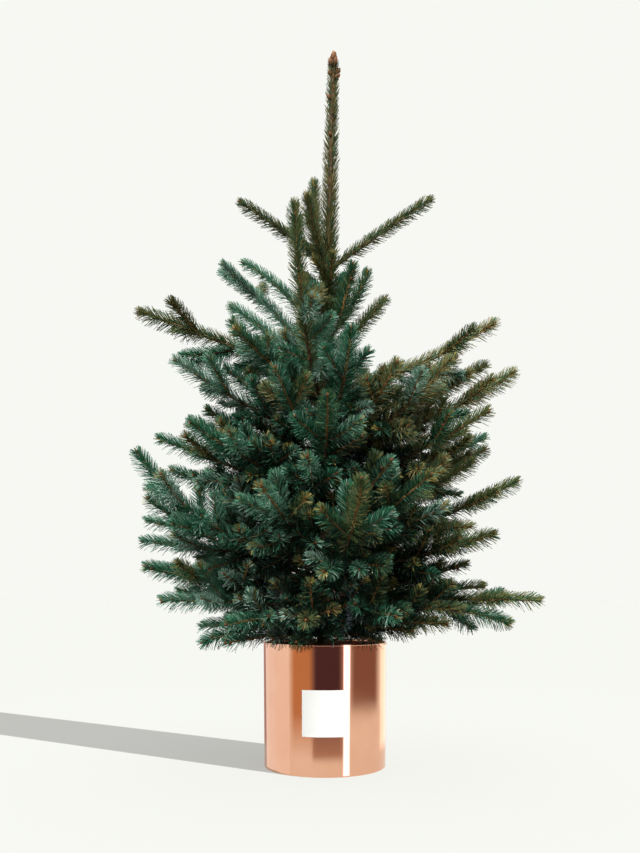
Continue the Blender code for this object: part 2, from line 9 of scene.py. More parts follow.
import logging
import math
import random
from dataclasses import dataclass, field
from enum import Enum
from typing import Iterable, NamedTuple

import bmesh
import bpy
import numpy as np
from bmesh.types import BMEdge, BMesh, BMVert
from bpy.types import Material, Mesh, Node, NodeTree, Object
from mathutils import Matrix, Vector, noise
from numpy.random import Generator


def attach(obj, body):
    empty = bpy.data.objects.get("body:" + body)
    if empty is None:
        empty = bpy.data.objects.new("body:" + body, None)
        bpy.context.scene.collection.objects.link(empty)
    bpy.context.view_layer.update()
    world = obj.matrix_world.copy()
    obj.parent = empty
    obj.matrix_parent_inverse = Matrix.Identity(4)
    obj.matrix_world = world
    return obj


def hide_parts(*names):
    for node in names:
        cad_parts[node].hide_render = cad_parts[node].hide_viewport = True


Array = np.ndarray
Shape = tuple[Array, Array]  # vertex places and faces
Floats = tuple[float, ...]
Pair = tuple[float, float]
Pairs = tuple[Pair, ...]

LOG = logging.getLogger("potted_spruce")
BODY = "root"
GOLDEN_TURN = math.radians(137.508)
VIEW_DISTANCE = 1.30  # of the photograph's camera from the trunk
VIEW_HEIGHT = 0.27
UP = np.array([0.0, 0.0, 1.0])
RIGHT = np.array([1.0, 0.0, 0.0])
POINT_STEP = 0.005  # spacing of the points on a shoot's middle line
SHARP = math.radians(40)  # faces that meet at more than this keep a sharp edge

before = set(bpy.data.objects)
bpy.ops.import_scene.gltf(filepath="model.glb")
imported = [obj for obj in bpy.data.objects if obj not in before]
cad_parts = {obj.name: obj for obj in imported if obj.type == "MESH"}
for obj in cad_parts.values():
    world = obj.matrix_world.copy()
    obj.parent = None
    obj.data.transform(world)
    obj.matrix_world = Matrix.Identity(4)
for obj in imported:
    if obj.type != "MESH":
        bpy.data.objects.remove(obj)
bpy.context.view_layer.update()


# Colour and nodes

def linear(code: str) -> tuple[float, float, float, float]:
    """Turns an sRGB hex colour into linear light.

    Args:
        code: the colour as "#RRGGBB".

    Returns:
        Red, green, blue and an alpha of 1.
    """
    shares = [int(code[i:i + 2], 16) / 255 for i in (1, 3, 5)]
    light = [s / 12.92 if s <= 0.04045 else ((s + 0.055) / 1.055) ** 2.4 for s in shares]
    return (*light, 1.0)


def add_node(tree: NodeTree, kind: str, settings: dict | None = None,
             links: dict | None = None) -> Node:
    """Adds a node with its settings and links.

    Args:
        tree: the node tree.
        kind: the node's type, as it ends.
        settings: values by property name, or by the name or number of an input.
        links: output sockets by the name or number of the input that they feed.

    Returns:
        The new node.
    """
    made = tree.nodes.new("ShaderNode" + kind)
    for key, value in (settings or {}).items():
        if isinstance(key, str) and hasattr(made, key):
            setattr(made, key, value)
        else:
            made.inputs[key].default_value = value
    for key, source in (links or {}).items():
        tree.links.new(source, made.inputs[key])
    return made


def add_material(name: str, settings: dict) -> tuple[Material, NodeTree, Node]:
    """Adds a material.

    Args:
        name: its name.
        settings: values by the name of its shader's input.

    Returns:
        The material, its node tree and its shader.
    """
    material = bpy.data.materials.new(name)
    material.use_nodes = True
    shader = material.node_tree.nodes["Principled BSDF"]
    for key, value in settings.items():
        shader.inputs[key].default_value = value
    return material, material.node_tree, shader


def add_object(name: str, data: bpy.types.ID) -> Object:
    """Adds an object to the scene.

    Args:
        name: its name.
        data: its mesh, light or camera.

    Returns:
        The object.
    """
    thing = bpy.data.objects.new(name, data)
    bpy.context.scene.collection.objects.link(thing)
    return thing


@dataclass(frozen=True)
class Finish:
    """What every finish has: a name, a base colour and a gloss."""

    name: str
    colour: str
    roughness: float
    metallic: float = 0.0

    def start(self) -> tuple[Material, NodeTree, Node]:
        """Makes the material with its shader set to the plain values.

        Returns:
            The material, its node tree and its shader.
        """
        material, tree, shader = add_material(self.name, {
            "Base Color": linear(self.colour), "Roughness": self.roughness,
            "Metallic": self.metallic})
        material.diffuse_color = linear(self.colour)
        return material, tree, shader

    def dress(self) -> Material:
        """Makes the material of a finish whose colour is the same all over."""
        return self.start()[0]


@dataclass(frozen=True)
class NeedleWax(Finish):
    """Needle of a blue spruce: a hard green blade under a bloom of pale wax.

    The wax takes the shine off and greys the green, so the highlight is broad and cool.
    """

    roughness: float = 0.55

    def dress(self) -> Material:
        """Makes the material with the soft bloom of the wax.

        Returns:
            The material.
        """
        material, _, shader = self.start()
        shader.inputs["IOR"].default_value = 1.42
        shader.inputs["Specular IOR Level"].default_value = 0.22
        return material


@dataclass(frozen=True)
class SpunCopper(Finish):
    """Polished copper sheet, rolled round and buffed along its height.

    The eye sees mirror bands with soft edges, fine upright buffing lines and a breath of
    browner tarnish.
    """

    tarnish: str = "#DE9C78"
    line_width: float = 0.0011  # real lines are finer; this is as coarse as shows
    line_length: float = 0.060
    patch: float = 0.045

    def dress(self) -> Material:
        """Makes the material with tarnish, gloss changes and buffing lines.

        Returns:
            The material.
        """
        material, tree, shader = self.start()
        place = add_node(tree, "TexCoord").outputs["Object"]
        blot = add_node(tree, "TexNoise", {"Scale": 1 / self.patch, "Detail": 3.0},
                        {"Vector": place}).outputs["Fac"]
        amount = add_node(tree, "MapRange", {"From Min": 0.35, "From Max": 0.75,
                                                       "To Min": 0.0, "To Max": 0.30},
                          {"Value": blot}).outputs["Result"]
        colour = add_node(tree, "Mix", {"data_type": "RGBA", 6: linear(self.colour),
                                                  7: linear(self.tarnish)}, {0: amount}).outputs[2]
        tree.links.new(colour, shader.inputs["Base Color"])
        gloss = add_node(tree, "MapRange", {"From Min": 0.3, "From Max": 0.8,
                                                      "To Min": self.roughness,
                                                      "To Max": self.roughness + 0.06},
                         {"Value": blot}).outputs["Result"]
        tree.links.new(gloss, shader.inputs["Roughness"])
        across = 1 / self.line_width
        stretched = add_node(tree, "Mapping", {"Scale": (across, across, 1 / self.line_length)},
                             {"Vector": place}).outputs["Vector"]
        lines = add_node(tree, "TexNoise", {"Scale": 1.0, "Detail": 2.0},
                         {"Vector": stretched}).outputs["Fac"]
        bump = add_node(tree, "Bump", {"Strength": 0.05, "Distance": 0.0002},
                        {"Height": lines}).outputs["Normal"]
        tree.links.new(bump, shader.inputs["Normal"])
        return material


@dataclass(frozen=True)
class Patchy(Finish):
    """A natural surface whose colour wanders between three tones over a grain.

    It serves bark, twig, bud, compost and card, each with its own tones and grain.
    """

    dark: str = "#000000"
    light: str = "#FFFFFF"
    grain: float = 0.004  # size of the patches
    stretch: float = 1.0  # how much longer than wide they are, upwards
    relief: float = 0.0004  # height of the bump
    strength: float = 0.5
    plates: bool = False  # cracked into plates, as old bark is
    shine: float = 0.5  # how much it mirrors, beside a plain surface

    def dress(self) -> Material:
        """Makes the material with its patches of colour and its bump.

        Returns:
            The material.
        """
        material, tree, shader = self.start()
        shader.inputs["Specular IOR Level"].default_value = self.shine
        place = add_node(tree, "TexCoord").outputs["Object"]
        size = 1 / self.grain
        scaled = add_node(tree, "Mapping", {"Scale": (size, size, size / self.stretch)},
                          {"Vector": place}).outputs["Vector"]
        wander = add_node(tree, "TexNoise", {"Scale": 1.0, "Detail": 4.0, "Roughness": 0.6},
                          {"Vector": scaled}).outputs["Fac"]
        ramp = add_node(tree, "ValToRGB", links={"Fac": wander})
        stops = ramp.color_ramp.elements
        stops[0].position = 0.30
        stops[0].color = linear(self.dark)
        stops[1].position = 0.72
        stops[1].color = linear(self.light)
        middle = stops.new(0.50)
        middle.color = linear(self.colour)
        colour = ramp.outputs["Color"]
        height = wander
        if self.plates:
            cracks = add_node(tree, "TexVoronoi", {"feature": "DISTANCE_TO_EDGE", "Scale": 0.8},
                              {"Vector": scaled}).outputs["Distance"]
            edge = add_node(tree, "MapRange", {"From Min": 0.0, "From Max": 0.16},
                            {"Value": cracks}).outputs["Result"]
            colour = add_node(tree, "Mix", {"data_type": "RGBA", 6: linear(self.dark)},
                              {0: edge, 7: colour}).outputs[2]
            height = add_node(tree, "Math", {"operation": "ADD"}, {0: edge, 1: wander}).outputs[0]
        tree.links.new(colour, shader.inputs["Base Color"])
        bump = add_node(tree, "Bump", {"Strength": self.strength, "Distance": self.relief},
                        {"Height": height}).outputs["Normal"]
        tree.links.new(bump, shader.inputs["Normal"])
        return material


COPPER = SpunCopper("polished_copper", "#EDB798", 0.10, 1.0)
CARD = Patchy("uncoated_white_card", "#EEEEEC", 0.62, dark="#E8E8E5", light="#F4F4F3",
              grain=0.0016, relief=0.00008, strength=0.25)
COMPOST = Patchy("moist_compost", "#2E211A", 0.93, dark="#15100C", light="#4A382B",
                 grain=0.0035, relief=0.0010, strength=0.8)
CRUMB = Patchy("bark_crumb", "#4F3828", 0.90, dark="#2A1D15", light="#7A5C43",
               grain=0.0022, relief=0.0006, strength=0.6)
OLD_BARK = Patchy("scaly_spruce_bark", "#563E27", 0.88, dark="#2B1E14", light="#745C3E",
                  grain=0.0042, stretch=1.7, relief=0.0006, strength=0.7, plates=True, shine=0.2)
YOUNG_BARK = Patchy("young_twig_bark", "#7E5A34", 0.72, dark="#4C351E", light="#A88350",
                    grain=0.0018, stretch=1.5, relief=0.0003, strength=0.6, shine=0.2)
BUD_SCALE = Patchy("papery_bud_scale", "#5E3B22", 0.66, dark="#351D0E", light="#845832",
                   grain=0.0011, relief=0.0002, strength=0.5, shine=0.15)


class Tint(Enum):
    """The needle tints. Each spray takes one, and its tip may take another."""

    # SHADED is painted shade: needles deep inside the lower crown take it, and the leader also
    # takes it now and then as a darker tone.
    SHADED = "#0D2216"
    DEEP = "#1E4831"
    TEAL = "#2D644A"
    GLAUCOUS = "#49735C"
    SILVER = "#748F80"
    FOREST = "#4A5833"
    OLIVE = "#746C44"
    MOSS = "#4B4926"
    YOUNG = "#8A7A40"


# The darker and the lighter tint that some needles of a spray have.
NEIGHBOURS = {
    Tint.SHADED: (Tint.SHADED, Tint.DEEP),
    Tint.DEEP: (Tint.FOREST, Tint.GLAUCOUS),
    Tint.TEAL: (Tint.DEEP, Tint.SILVER),
    Tint.GLAUCOUS: (Tint.TEAL, Tint.SILVER),
    Tint.SILVER: (Tint.TEAL, Tint.SILVER),
    Tint.FOREST: (Tint.DEEP, Tint.OLIVE),
    Tint.OLIVE: (Tint.FOREST, Tint.GLAUCOUS),
    Tint.MOSS: (Tint.DEEP, Tint.FOREST),
    Tint.YOUNG: (Tint.OLIVE, Tint.YOUNG), }


# Placing pieces

def place(name: str, mesh: Mesh, material: Material, slot: str,
          nodes: Iterable[str] = ()) -> Object:
    """Puts a finished mesh into the scene as a piece of the object.

    Args:
        name: the piece's name.
        mesh: its mesh, in place.
        material: its finish.
        slot: the record's material slot; it is not used.
        nodes: the frame's nodes that it stands for.

    Returns:
        The piece.
    """
    mesh.materials.clear()
    mesh.materials.append(material)
    piece = add_object(name, mesh)
    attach(piece, BODY)
    if nodes:
        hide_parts(*nodes)
    LOG.info("%s: %d triangles", name, sum(len(face.vertices) - 2 for face in mesh.polygons))
    return piece


def finished(bm: BMesh, name: str) -> Mesh:
    """Turns a bmesh into a smooth mesh whose faces point outwards.

    Args:
        bm: the bmesh, which is freed.
        name: the mesh's name.

    Returns:
        The mesh.
    """
    bmesh.ops.recalc_face_normals(bm, faces=bm.faces)
    mesh = bpy.data.meshes.new(name)
    bm.to_mesh(mesh)
    bm.free()
    mesh.shade_smooth()
    return mesh


def from_arrays(name: str, places: Array, faces: list[list[int]], smooth: bool = True) -> Mesh:
    """Makes one joined mesh of many small things.

    Args:
        name: the mesh's name.
        places: vertex places, one in each row.
        faces: the vertex numbers of each face.
        smooth: whether it is shaded smooth.

    Returns:
        The mesh.
    """
    mesh = bpy.data.meshes.new(name)
    mesh.from_pydata(places.tolist(), [], faces)
    if smooth:
        mesh.shade_smooth()
    else:
        mesh.shade_flat()
    return mesh


def joined(name: str, parts: list[Shape]) -> Mesh:
    """Joins many small meshes into one.

    Args:
        name: the mesh's name.
        parts: vertex places and faces of each.

    Returns:
        The mesh. A face whose last two corners are the same becomes a triangle.
    """
    starts = np.cumsum([0] + [len(places) for places, _ in parts[:-1]])
    places = np.vstack([part[0] for part in parts])
    faces = np.vstack([part[1] + start for part, start in zip(parts, starts)])
    shapes = [face[:3] if face[2] == face[3] else face for face in faces.tolist()]
    return from_arrays(name, places, shapes)


def walls_of(rings: int, sides: int) -> Array:
    """The faces between the rings of a tube whose vertices are numbered ring by ring.

    Args:
        rings: how many rings there are.
        sides: how many vertices each has.

    Returns:
        Faces with four corners.
    """
    lows = np.arange((rings - 1) * sides).reshape(-1, sides)
    nexts = np.roll(lows, -1, axis=1)
    return np.stack([lows, nexts, nexts + sides, lows + sides], axis=-1).reshape(-1, 4)


def spun(profile: list[Pair], steps: int) -> BMesh:
    """Spins a profile that runs from axis to axis into a closed solid.

    Args:
        profile: pairs of radius and height.
        steps: how many facets go round.

    Returns:
        The bmesh.
    """
    bm = bmesh.new()
    points = [bm.verts.new((radius, 0.0, height)) for radius, height in profile]
    edges = [bm.edges.new(pair) for pair in zip(points, points[1:])]
    bmesh.ops.spin(bm, geom=points + edges, axis=(0, 0, 1), cent=(0, 0, 0), steps=steps,
                   angle=math.tau, use_merge=True)
    bmesh.ops.remove_doubles(bm, verts=bm.verts, dist=1e-6)
    return bm


def arc(centre: Pair, radius: float, start: float, end: float, steps: int) -> list[Pair]:
    """Points on an arc of a profile.

    Args:
        centre: its middle, as radius and height.
        radius: its radius.
        start: the first angle in degrees, 0 outwards and 90 up.
        end: the last angle in degrees.
        steps: how many steps lie between them.

    Returns:
        The points, both ends among them.
    """
    turns = [math.radians(start + (end - start) * i / steps) for i in range(steps + 1)]
    return [(centre[0] + radius * math.cos(t), centre[1] + radius * math.sin(t)) for t in turns]


# Curves

def unit(vectors: Array) -> Array:
    """Vectors scaled to a length of 1."""
    return vectors / np.linalg.norm(vectors, axis=-1, keepdims=True)


def around(first: Array, second: Array, turns: Array) -> Array:
    """Directions at given turns from the first of two square directions to the second."""
    return first * np.cos(turns)[..., None] + second * np.sin(turns)[..., None]


def outwards(bearing: float) -> Array:
    """The level direction at a bearing in degrees, 0 to the right and 90 to the back."""
    turn = math.radians(bearing)
    return np.array([math.cos(turn), math.sin(turn), 0.0])


def ramp(values: Array, run: float) -> Array:
    """How far values have come along a run that starts at 0, from 0 to 1."""
    return np.clip(values / run, 0.0, 1.0)


def read_off(table: Pairs, at: Array) -> Array:
    """Values read off a table of pairs, straight between its rows."""
    return np.interp(at, *zip(*table))


def runs_of(line: Array) -> Array:
    """The distance along a line to each of its points."""
    return np.concatenate([[0.0], np.cumsum(np.linalg.norm(np.diff(line, axis=0), axis=1))])


def along(line: Array, goals: Array) -> Array:
    """The points at given distances along a line."""
    runs = runs_of(line)
    return np.column_stack([np.interp(goals, runs, line[:, k]) for k in range(3)])


def evenly(line: Array, start: float, end: float, step: float) -> Array:
    """Points at even spacing along a line.

    Args:
        line: the line's points.
        start: where to begin, in metres along it.
        end: where to stop.
        step: the spacing to come near to.

    Returns:
        The points.
    """
    end = min(end, runs_of(line)[-1])
    count = max(2, round((end - start) / step))
    return along(line, np.linspace(start, end, count + 1))


def frames_of(line: Array) -> tuple[Array, Array, Array]:
    """Tangents along a line and two square directions that turn as little as possible.

    Args:
        line: the line's points.

    Returns:
        Tangents, first and second square directions, one of each for each point.
    """
    tangents = unit(np.gradient(line, axis=0))
    side = np.cross(tangents[0], UP)
    if np.linalg.norm(side) < 0.02:  # upright
        side = RIGHT
    sides = []
    for tangent in tangents:
        side = side - tangent * side.dot(tangent)
        side = side / np.linalg.norm(side)
        sides.append(side)
    sides = np.array(sides)
    return tangents, sides, np.cross(tangents, sides)


# Tree

@dataclass(frozen=True)
class Trunk:
    """The trunk from the soil to the bud on its leader, with bark relief."""

    soil: float = 0.183
    gap: float = 0.0003
    top: float = 1.159
    lean: float = 0.0148
    lean_power: float = 2.0
    leader_base: float = 0.820
    leader_end: float = 1.132
    into_bud: float = 0.004  # how far it runs on inside the leader's bud
    foot_radius: float = 0.0108
    top_radius: float = 0.0026
    taper_power: float = 0.80
    flare_height: float = 0.045
    flare_extra: float = 0.0050
    sides: int = 40
    ring_step: float = 0.0042
    plate_width: float = 0.0052
    plate_height: float = 0.0100
    crack: float = 0.30  # width of a crack, beside a plate
    plate_part: float = 0.72  # what the plates give to the relief
    rough_part: float = 0.28  # what their own roughness gives
    rough_scale: float = 2.7  # how much finer that roughness is
    relief: float = 0.00075
    sunk: float = 0.85  # how much of it lies inside the plain radius
    tips_aside: float = 0.0015  # what the source's even lean moves its boughs' tips

    def axis(self, heights: Array) -> Array:
        """The trunk's middle at each height: it leans a little more towards the tip."""
        share = np.clip((heights - self.soil) / (self.top - self.soil), 0.0, None)
        return np.column_stack([self.lean * share**self.lean_power, np.zeros_like(share), heights])

    def radius(self, heights: Array) -> Array:
        """The trunk's radius: an even taper with a flare at the root.

        Args:
            heights: where, over the floor.

        Returns:
            The radius at each height.
        """
        share = ramp(heights - self.soil, self.leader_end - self.soil)
        taper = self.foot_radius + (self.top_radius - self.foot_radius) * share**self.taper_power
        flare = (1.0 - ramp(heights - self.soil, self.flare_height)) ** 2
        return taper + self.flare_extra * flare

    def bark_height(self, point: Vector) -> float:
        """How far the bark stands out at a point.

        Args:
            point: the place on the trunk.

        Returns:
            From 0 in a crack to 1 on a plate.
        """
        wide = Vector((point.x / self.plate_width, point.y / self.plate_width,
                       point.z / self.plate_height))
        first, second = noise.voronoi(wide)[0][:2]
        plate = min(1.0, (second - first) / self.crack)
        rough = 0.5 + 0.5 * noise.noise(wide * self.rough_scale)
        return self.plate_part * plate + self.rough_part * rough

    def build(self, material: Material) -> None:
        """Extrudes the trunk ring by ring and raises its bark.

        Args:
            material: the bark.
        """
        count = round((self.leader_end - self.soil) / self.ring_step)
        heights = np.linspace(self.soil + self.gap, self.leader_end + self.into_bud, count + 1)
        centres = self.axis(heights)
        radii = self.radius(heights)
        bm = bmesh.new()
        bmesh.ops.create_circle(bm, cap_ends=True, segments=self.sides, radius=1.0)
        rim = [edge for edge in bm.edges if len(edge.link_faces) == 1]
        rings = [list({vert for edge in rim for vert in edge.verts})]
        for _ in heights[1:]:
            grown = bmesh.ops.extrude_edge_only(bm, edges=rim)["geom"]
            rim = [item for item in grown if isinstance(item, BMEdge)
                   and len(item.link_faces) == 1]
            rings.append([item for item in grown if isinstance(item, BMVert)])
        bmesh.ops.contextual_create(bm, geom=rim)
        for ring, centre, radius in zip(rings, centres, radii):
            depth = self.relief * min(1.0, radius / self.foot_radius)
            for vert in ring:
                out = Vector((vert.co.x, vert.co.y, 0.0)).normalized()
                vert.co = Vector(centre) + out * radius
                out = (vert.co - Vector(centre)).normalized()
                vert.co += out * depth * (self.bark_height(vert.co) - self.sunk)
        place("trunk_bark", finished(bm, "trunk_bark"), material, "spruce_bark", ["trunk"])


class Bough(NamedTuple):
    """One bough: where it leaves the trunk and where its tip is."""

    name: str
    height: float  # of its foot on the trunk
    bearing: float  # degrees, 0 to the right and 90 to the back
    reach: float  # level distance of its tip from the trunk
    tip: float  # height of its tip
    lift: float  # 0 straight, more runs out level first and then turns up
    years: int  # yearly joints that carry the source's side shoots
    tint: Tint | None = None  # where the photograph shows it plainly


BOUGHS = tuple(Bough(*row) for row in (
    ("top_left", 0.812, 180, 0.153, 0.918, -0.04, 0, Tint.MOSS),
    ("top_right", 0.807, 7, 0.176, 0.934, -0.01, 0, Tint.MOSS),
    ("top_front", 0.8, 237, 0.066, 0.907, 0.22, 0, Tint.MOSS),
    ("top_back", 0.808, 108, 0.085, 0.997, 0.25, 0, Tint.MOSS),
    ("high_right", 0.7, 2, 0.066, 0.81, 0.15, 0, Tint.DEEP),
    ("high_front", 0.685, 301, 0.076, 0.795, 0.15, 0, Tint.DEEP),
    ("high_left", 0.682, 172, 0.149, 0.828, -0.14, 0, Tint.GLAUCOUS),
    ("high_right_back", 0.66, 30, 0.119, 0.784, 0.0, 0),
    ("high_back", 0.69, 98, 0.123, 0.815, 0.1, 0),
    ("upper_left_back", 0.625, 150, 0.222, 0.849, -0.12, 1, Tint.GLAUCOUS),
    ("upper_front_left", 0.575, 252, 0.158, 0.848, 0.3, 0, Tint.FOREST),
    ("upper_left", 0.605, 184, 0.311, 0.73, -0.08, 3, Tint.FOREST),
    ("upper_left_front", 0.59, 217, 0.182, 0.677, 0.08, 1),
    ("upper_right", 0.6, 1, 0.28, 0.725, 0.12, 2, Tint.OLIVE),
    ("upper_front", 0.53, 283, 0.155, 0.668, 0.25, 2, Tint.TEAL),
    ("upper_back_right", 0.595, 52, 0.204, 0.694, 0.06, 2),
    ("upper_back_left", 0.58, 121, 0.22, 0.726, 0.1, 2),
    ("middle_left", 0.525, 194, 0.251, 0.645, 0.08, 2),
    ("middle_right_front", 0.49, 333, 0.215, 0.636, 0.1, 2, Tint.OLIVE),
    ("middle_right", 0.505, 0, 0.312, 0.643, 0.12, 3, Tint.OLIVE),
    ("middle_front", 0.44, 270, 0.221, 0.551, 0.12, 2, Tint.DEEP),
    ("middle_left_front", 0.44, 216, 0.252, 0.528, 0.1, 2),
    ("middle_left_low", 0.43, 181, 0.28, 0.532, 0.0, 3, Tint.TEAL),
    ("middle_right_low", 0.425, 12, 0.283, 0.527, 0.12, 3),
    ("middle_right_between", 0.45, 343, 0.266, 0.562, 0.1, 2, Tint.FOREST),
    ("middle_back_right", 0.47, 62, 0.259, 0.58, 0.1, 3),
    ("middle_back_left", 0.465, 120, 0.263, 0.58, 0.1, 3),
    ("lower_left_front", 0.315, 203, 0.309, 0.494, 0.23, 3, Tint.TEAL),
    ("lower_left", 0.345, 178, 0.303, 0.399, 0.05, 3, Tint.GLAUCOUS),
    ("lower_left_low", 0.328, 189, 0.3, 0.36, -0.02, 2),
    ("lower_front_left", 0.345, 249, 0.254, 0.425, 0.12, 2),
    ("lower_front_right", 0.36, 309, 0.238, 0.448, 0.12, 2),
    ("lower_front", 0.305, 280, 0.263, 0.434, 0.32, 2),
    ("lower_right", 0.335, 0, 0.318, 0.464, 0.06, 3, Tint.FOREST),
    ("lower_right_low", 0.298, 343, 0.277, 0.37, 0.01, 2),
    ("lower_back_left", 0.35, 134, 0.278, 0.421, 0.08, 3),
    ("lower_back_right", 0.34, 45, 0.275, 0.421, 0.08, 3),
    ("lower_back", 0.37, 92, 0.28, 0.464, 0.1, 3),
    ("bottom_left_back", 0.265, 165, 0.311, 0.327, 0.05, 3),
    ("bottom_left", 0.255, 197, 0.272, 0.268, -0.1, 3, Tint.GLAUCOUS),
    ("skirt_left", 0.24, 204, 0.214, 0.2, 0.15, 2),
    ("bottom_front_left", 0.262, 229, 0.225, 0.232, -0.1, 2),
    ("bottom_front", 0.255, 262, 0.215, 0.24, -0.1, 2),
    ("bottom_front_right", 0.262, 296, 0.225, 0.245, -0.05, 2),
    ("bottom_right", 0.276, 353, 0.347, 0.267, -0.22, 3, Tint.FOREST),
    ("skirt_right", 0.24, 326, 0.222, 0.232, -0.15, 1),
    ("bottom_back_right", 0.265, 40, 0.265, 0.313, 0.0, 3),
    ("bottom_back", 0.262, 116, 0.255, 0.286, 0.0, 3),
    ("skirt_back", 0.24, 76, 0.222, 0.238, -0.1, 2),
))

# Weaker boughs between the whorls. They fill the crown where the photograph shows it full.
WEAK_BOUGHS = tuple(Bough(f"weak_{side}_{number}", *row) for side, rows in (
    ("left", (
        (1, 0.622, 168, 0.172, 0.762, -0.05, 0, Tint.GLAUCOUS),
        (2, 0.585, 196, 0.162, 0.712, 0.1, 0),
        (3, 0.47, 176, 0.203, 0.585, 0.06, 1),
        (4, 0.4, 172, 0.268, 0.488, 0.08, 1),
        (5, 0.305, 187, 0.29, 0.434, 0.16, 1),
        (6, 0.255, 190, 0.295, 0.322, 0.02, 2),
        (7, 0.238, 178, 0.25, 0.283, 0.0, 1),
        (8, 0.232, 214, 0.19, 0.203, -0.16, 0),
        (9, 0.244, 190, 0.166, 0.236, -0.1, 1),
        (10, 0.455, 186, 0.226, 0.559, 0.05, 1),
        (11, 0.238, 199, 0.211, 0.226, 0.0, 1),
        (12, 0.54, 191, 0.172, 0.64, 0.05, 1),
    )),
    ("right", (
        (1, 0.52, 350, 0.213, 0.655, 0.05, 1),
        (2, 0.52, 8, 0.275, 0.665, 0.05, 1, Tint.OLIVE),
        (3, 0.43, 5, 0.27, 0.54, 0.08, 1),
        (4, 0.385, 352, 0.242, 0.49, 0.08, 1),
        (5, 0.345, 335, 0.21, 0.415, 0.08, 1),
        (6, 0.27, 2, 0.238, 0.328, 0.05, 1),
        (7, 0.266, 347, 0.298, 0.228, 0.3, 1, Tint.DEEP),
        (8, 0.252, 338, 0.232, 0.254, -0.08, 1),
        (9, 0.238, 318, 0.18, 0.221, -0.12, 0),
        (10, 0.262, 357, 0.262, 0.29, 0.0, 1),
    )),
    ("front", (
        (1, 0.228, 252, 0.15, 0.206, -0.18, 0),
        (2, 0.233, 276, 0.14, 0.213, -0.18, 0),
        (3, 0.229, 304, 0.15, 0.206, -0.18, 0),
        (8, 0.227, 233, 0.142, 0.209, -0.18, 0),
        (4, 0.395, 262, 0.205, 0.47, 0.1, 1),
        (5, 0.385, 298, 0.2, 0.47, 0.1, 1),
        (6, 0.5, 243, 0.17, 0.61, 0.15, 1),
        (7, 0.505, 310, 0.165, 0.625, 0.15, 1),
    )),
    ("back", (
        (1, 0.52, 90, 0.225, 0.64, 0.1, 1),
        (2, 0.415, 78, 0.255, 0.51, 0.1, 1),
        (3, 0.405, 148, 0.255, 0.5, 0.1, 1),
        (4, 0.31, 68, 0.268, 0.375, 0.08, 1),
        (5, 0.31, 112, 0.268, 0.37, 0.08, 1),
        (6, 0.245, 142, 0.245, 0.26, -0.05, 1),
        (7, 0.245, 22, 0.25, 0.265, -0.05, 1),
        (8, 0.495, 40, 0.24, 0.598, 0.05, 1),
        (10, 0.285, 150, 0.22, 0.335, 0.05, 1),
        (11, 0.262, 122, 0.15, 0.318, 0.05, 1),
        (12, 0.455, 34, 0.2, 0.545, 0.05, 1),
        (9, 0.5, 158, 0.165, 0.59, 0.08, 1),
    )),
) for number, *row in rows)


@dataclass
class Shoot:
    """One woody shoot with its needles and the bud at its tip."""

    line: Array
    root_radius: float
    tip_radius: float
    bare: float  # length at its root without needles
    rank: int  # 0 for a bough, 1 for its side shoots, 2 for theirs
    age: int  # years of growth at its root
    tint: Tint
    needle: float  # needle length

    @property
    def length(self) -> float:
        """Its length along the middle line."""
        return float(runs_of(self.line)[-1])

    def radii(self, runs: Array) -> Array:
        """Its radius at given distances from its root: an even taper."""
        return self.root_radius + (self.tip_radius - self.root_radius) * (runs / self.length)


class Room:
    """The middle lines of all shoots, which keep clear of each other."""

    def __init__(self, reach: float, most: int = 200000) -> None:
        """Starts empty.

        Args:
            reach: the greatest distance that is ever asked about.
            most: how many points it can hold.
        """
        self.reach = reach
        self.beads = np.zeros((most, 3))
        self.owners = np.full(most, -1)
        self.count = 0

    def add(self, line: Array, owner: int) -> None:
        """Adds the middle line of a shoot.

        Args:
            line: its points.
            owner: the shoot's number.
        """
        beads = evenly(line, 0.0, math.inf, POINT_STEP)
        self.beads[self.count:self.count + len(beads)] = beads
        self.owners[self.count:self.count + len(beads)] = owner
        self.count += len(beads)

    def distances(self, line: Array, skip: int) -> Array:
        """How far each point of a line is from any shoot but one.

        Args:
            line: the points.
            skip: the number of the shoot that is left out.

        Returns:
            A distance for each point, or infinity where nothing is near.
        """
        beads = self.beads[:self.count]
        middle = (line.min(axis=0) + line.max(axis=0)) / 2
        span = np.abs(line - middle).max() + self.reach
        near = (np.abs(beads - middle).max(axis=1) < span) & (self.owners[:self.count] != skip)
        if not near.any():
            return np.full(len(line), math.inf)
        steps = line[:, None, :] - beads[near][None, :, :]
        return np.sqrt((steps**2).sum(axis=2)).min(axis=1)


class Zone(NamedTuple):
    """A part of the crown, and how often each tint is dealt to the sprays in it."""

    weights: Floats  # of the tints in DEALT
    low: float = -math.inf
    high: float = math.inf
    left: float = -math.inf
    right: float = math.inf
    front: float = -math.inf

    def holds(self, point: Array) -> bool:
        """Whether a point lies in it."""
        return bool(self.low < point[2] < self.high and self.left < point[0] < self.right
                    and self.front < point[1])


DEALT = (Tint.DEEP, Tint.TEAL, Tint.GLAUCOUS, Tint.SILVER, Tint.FOREST, Tint.OLIVE, Tint.MOSS)

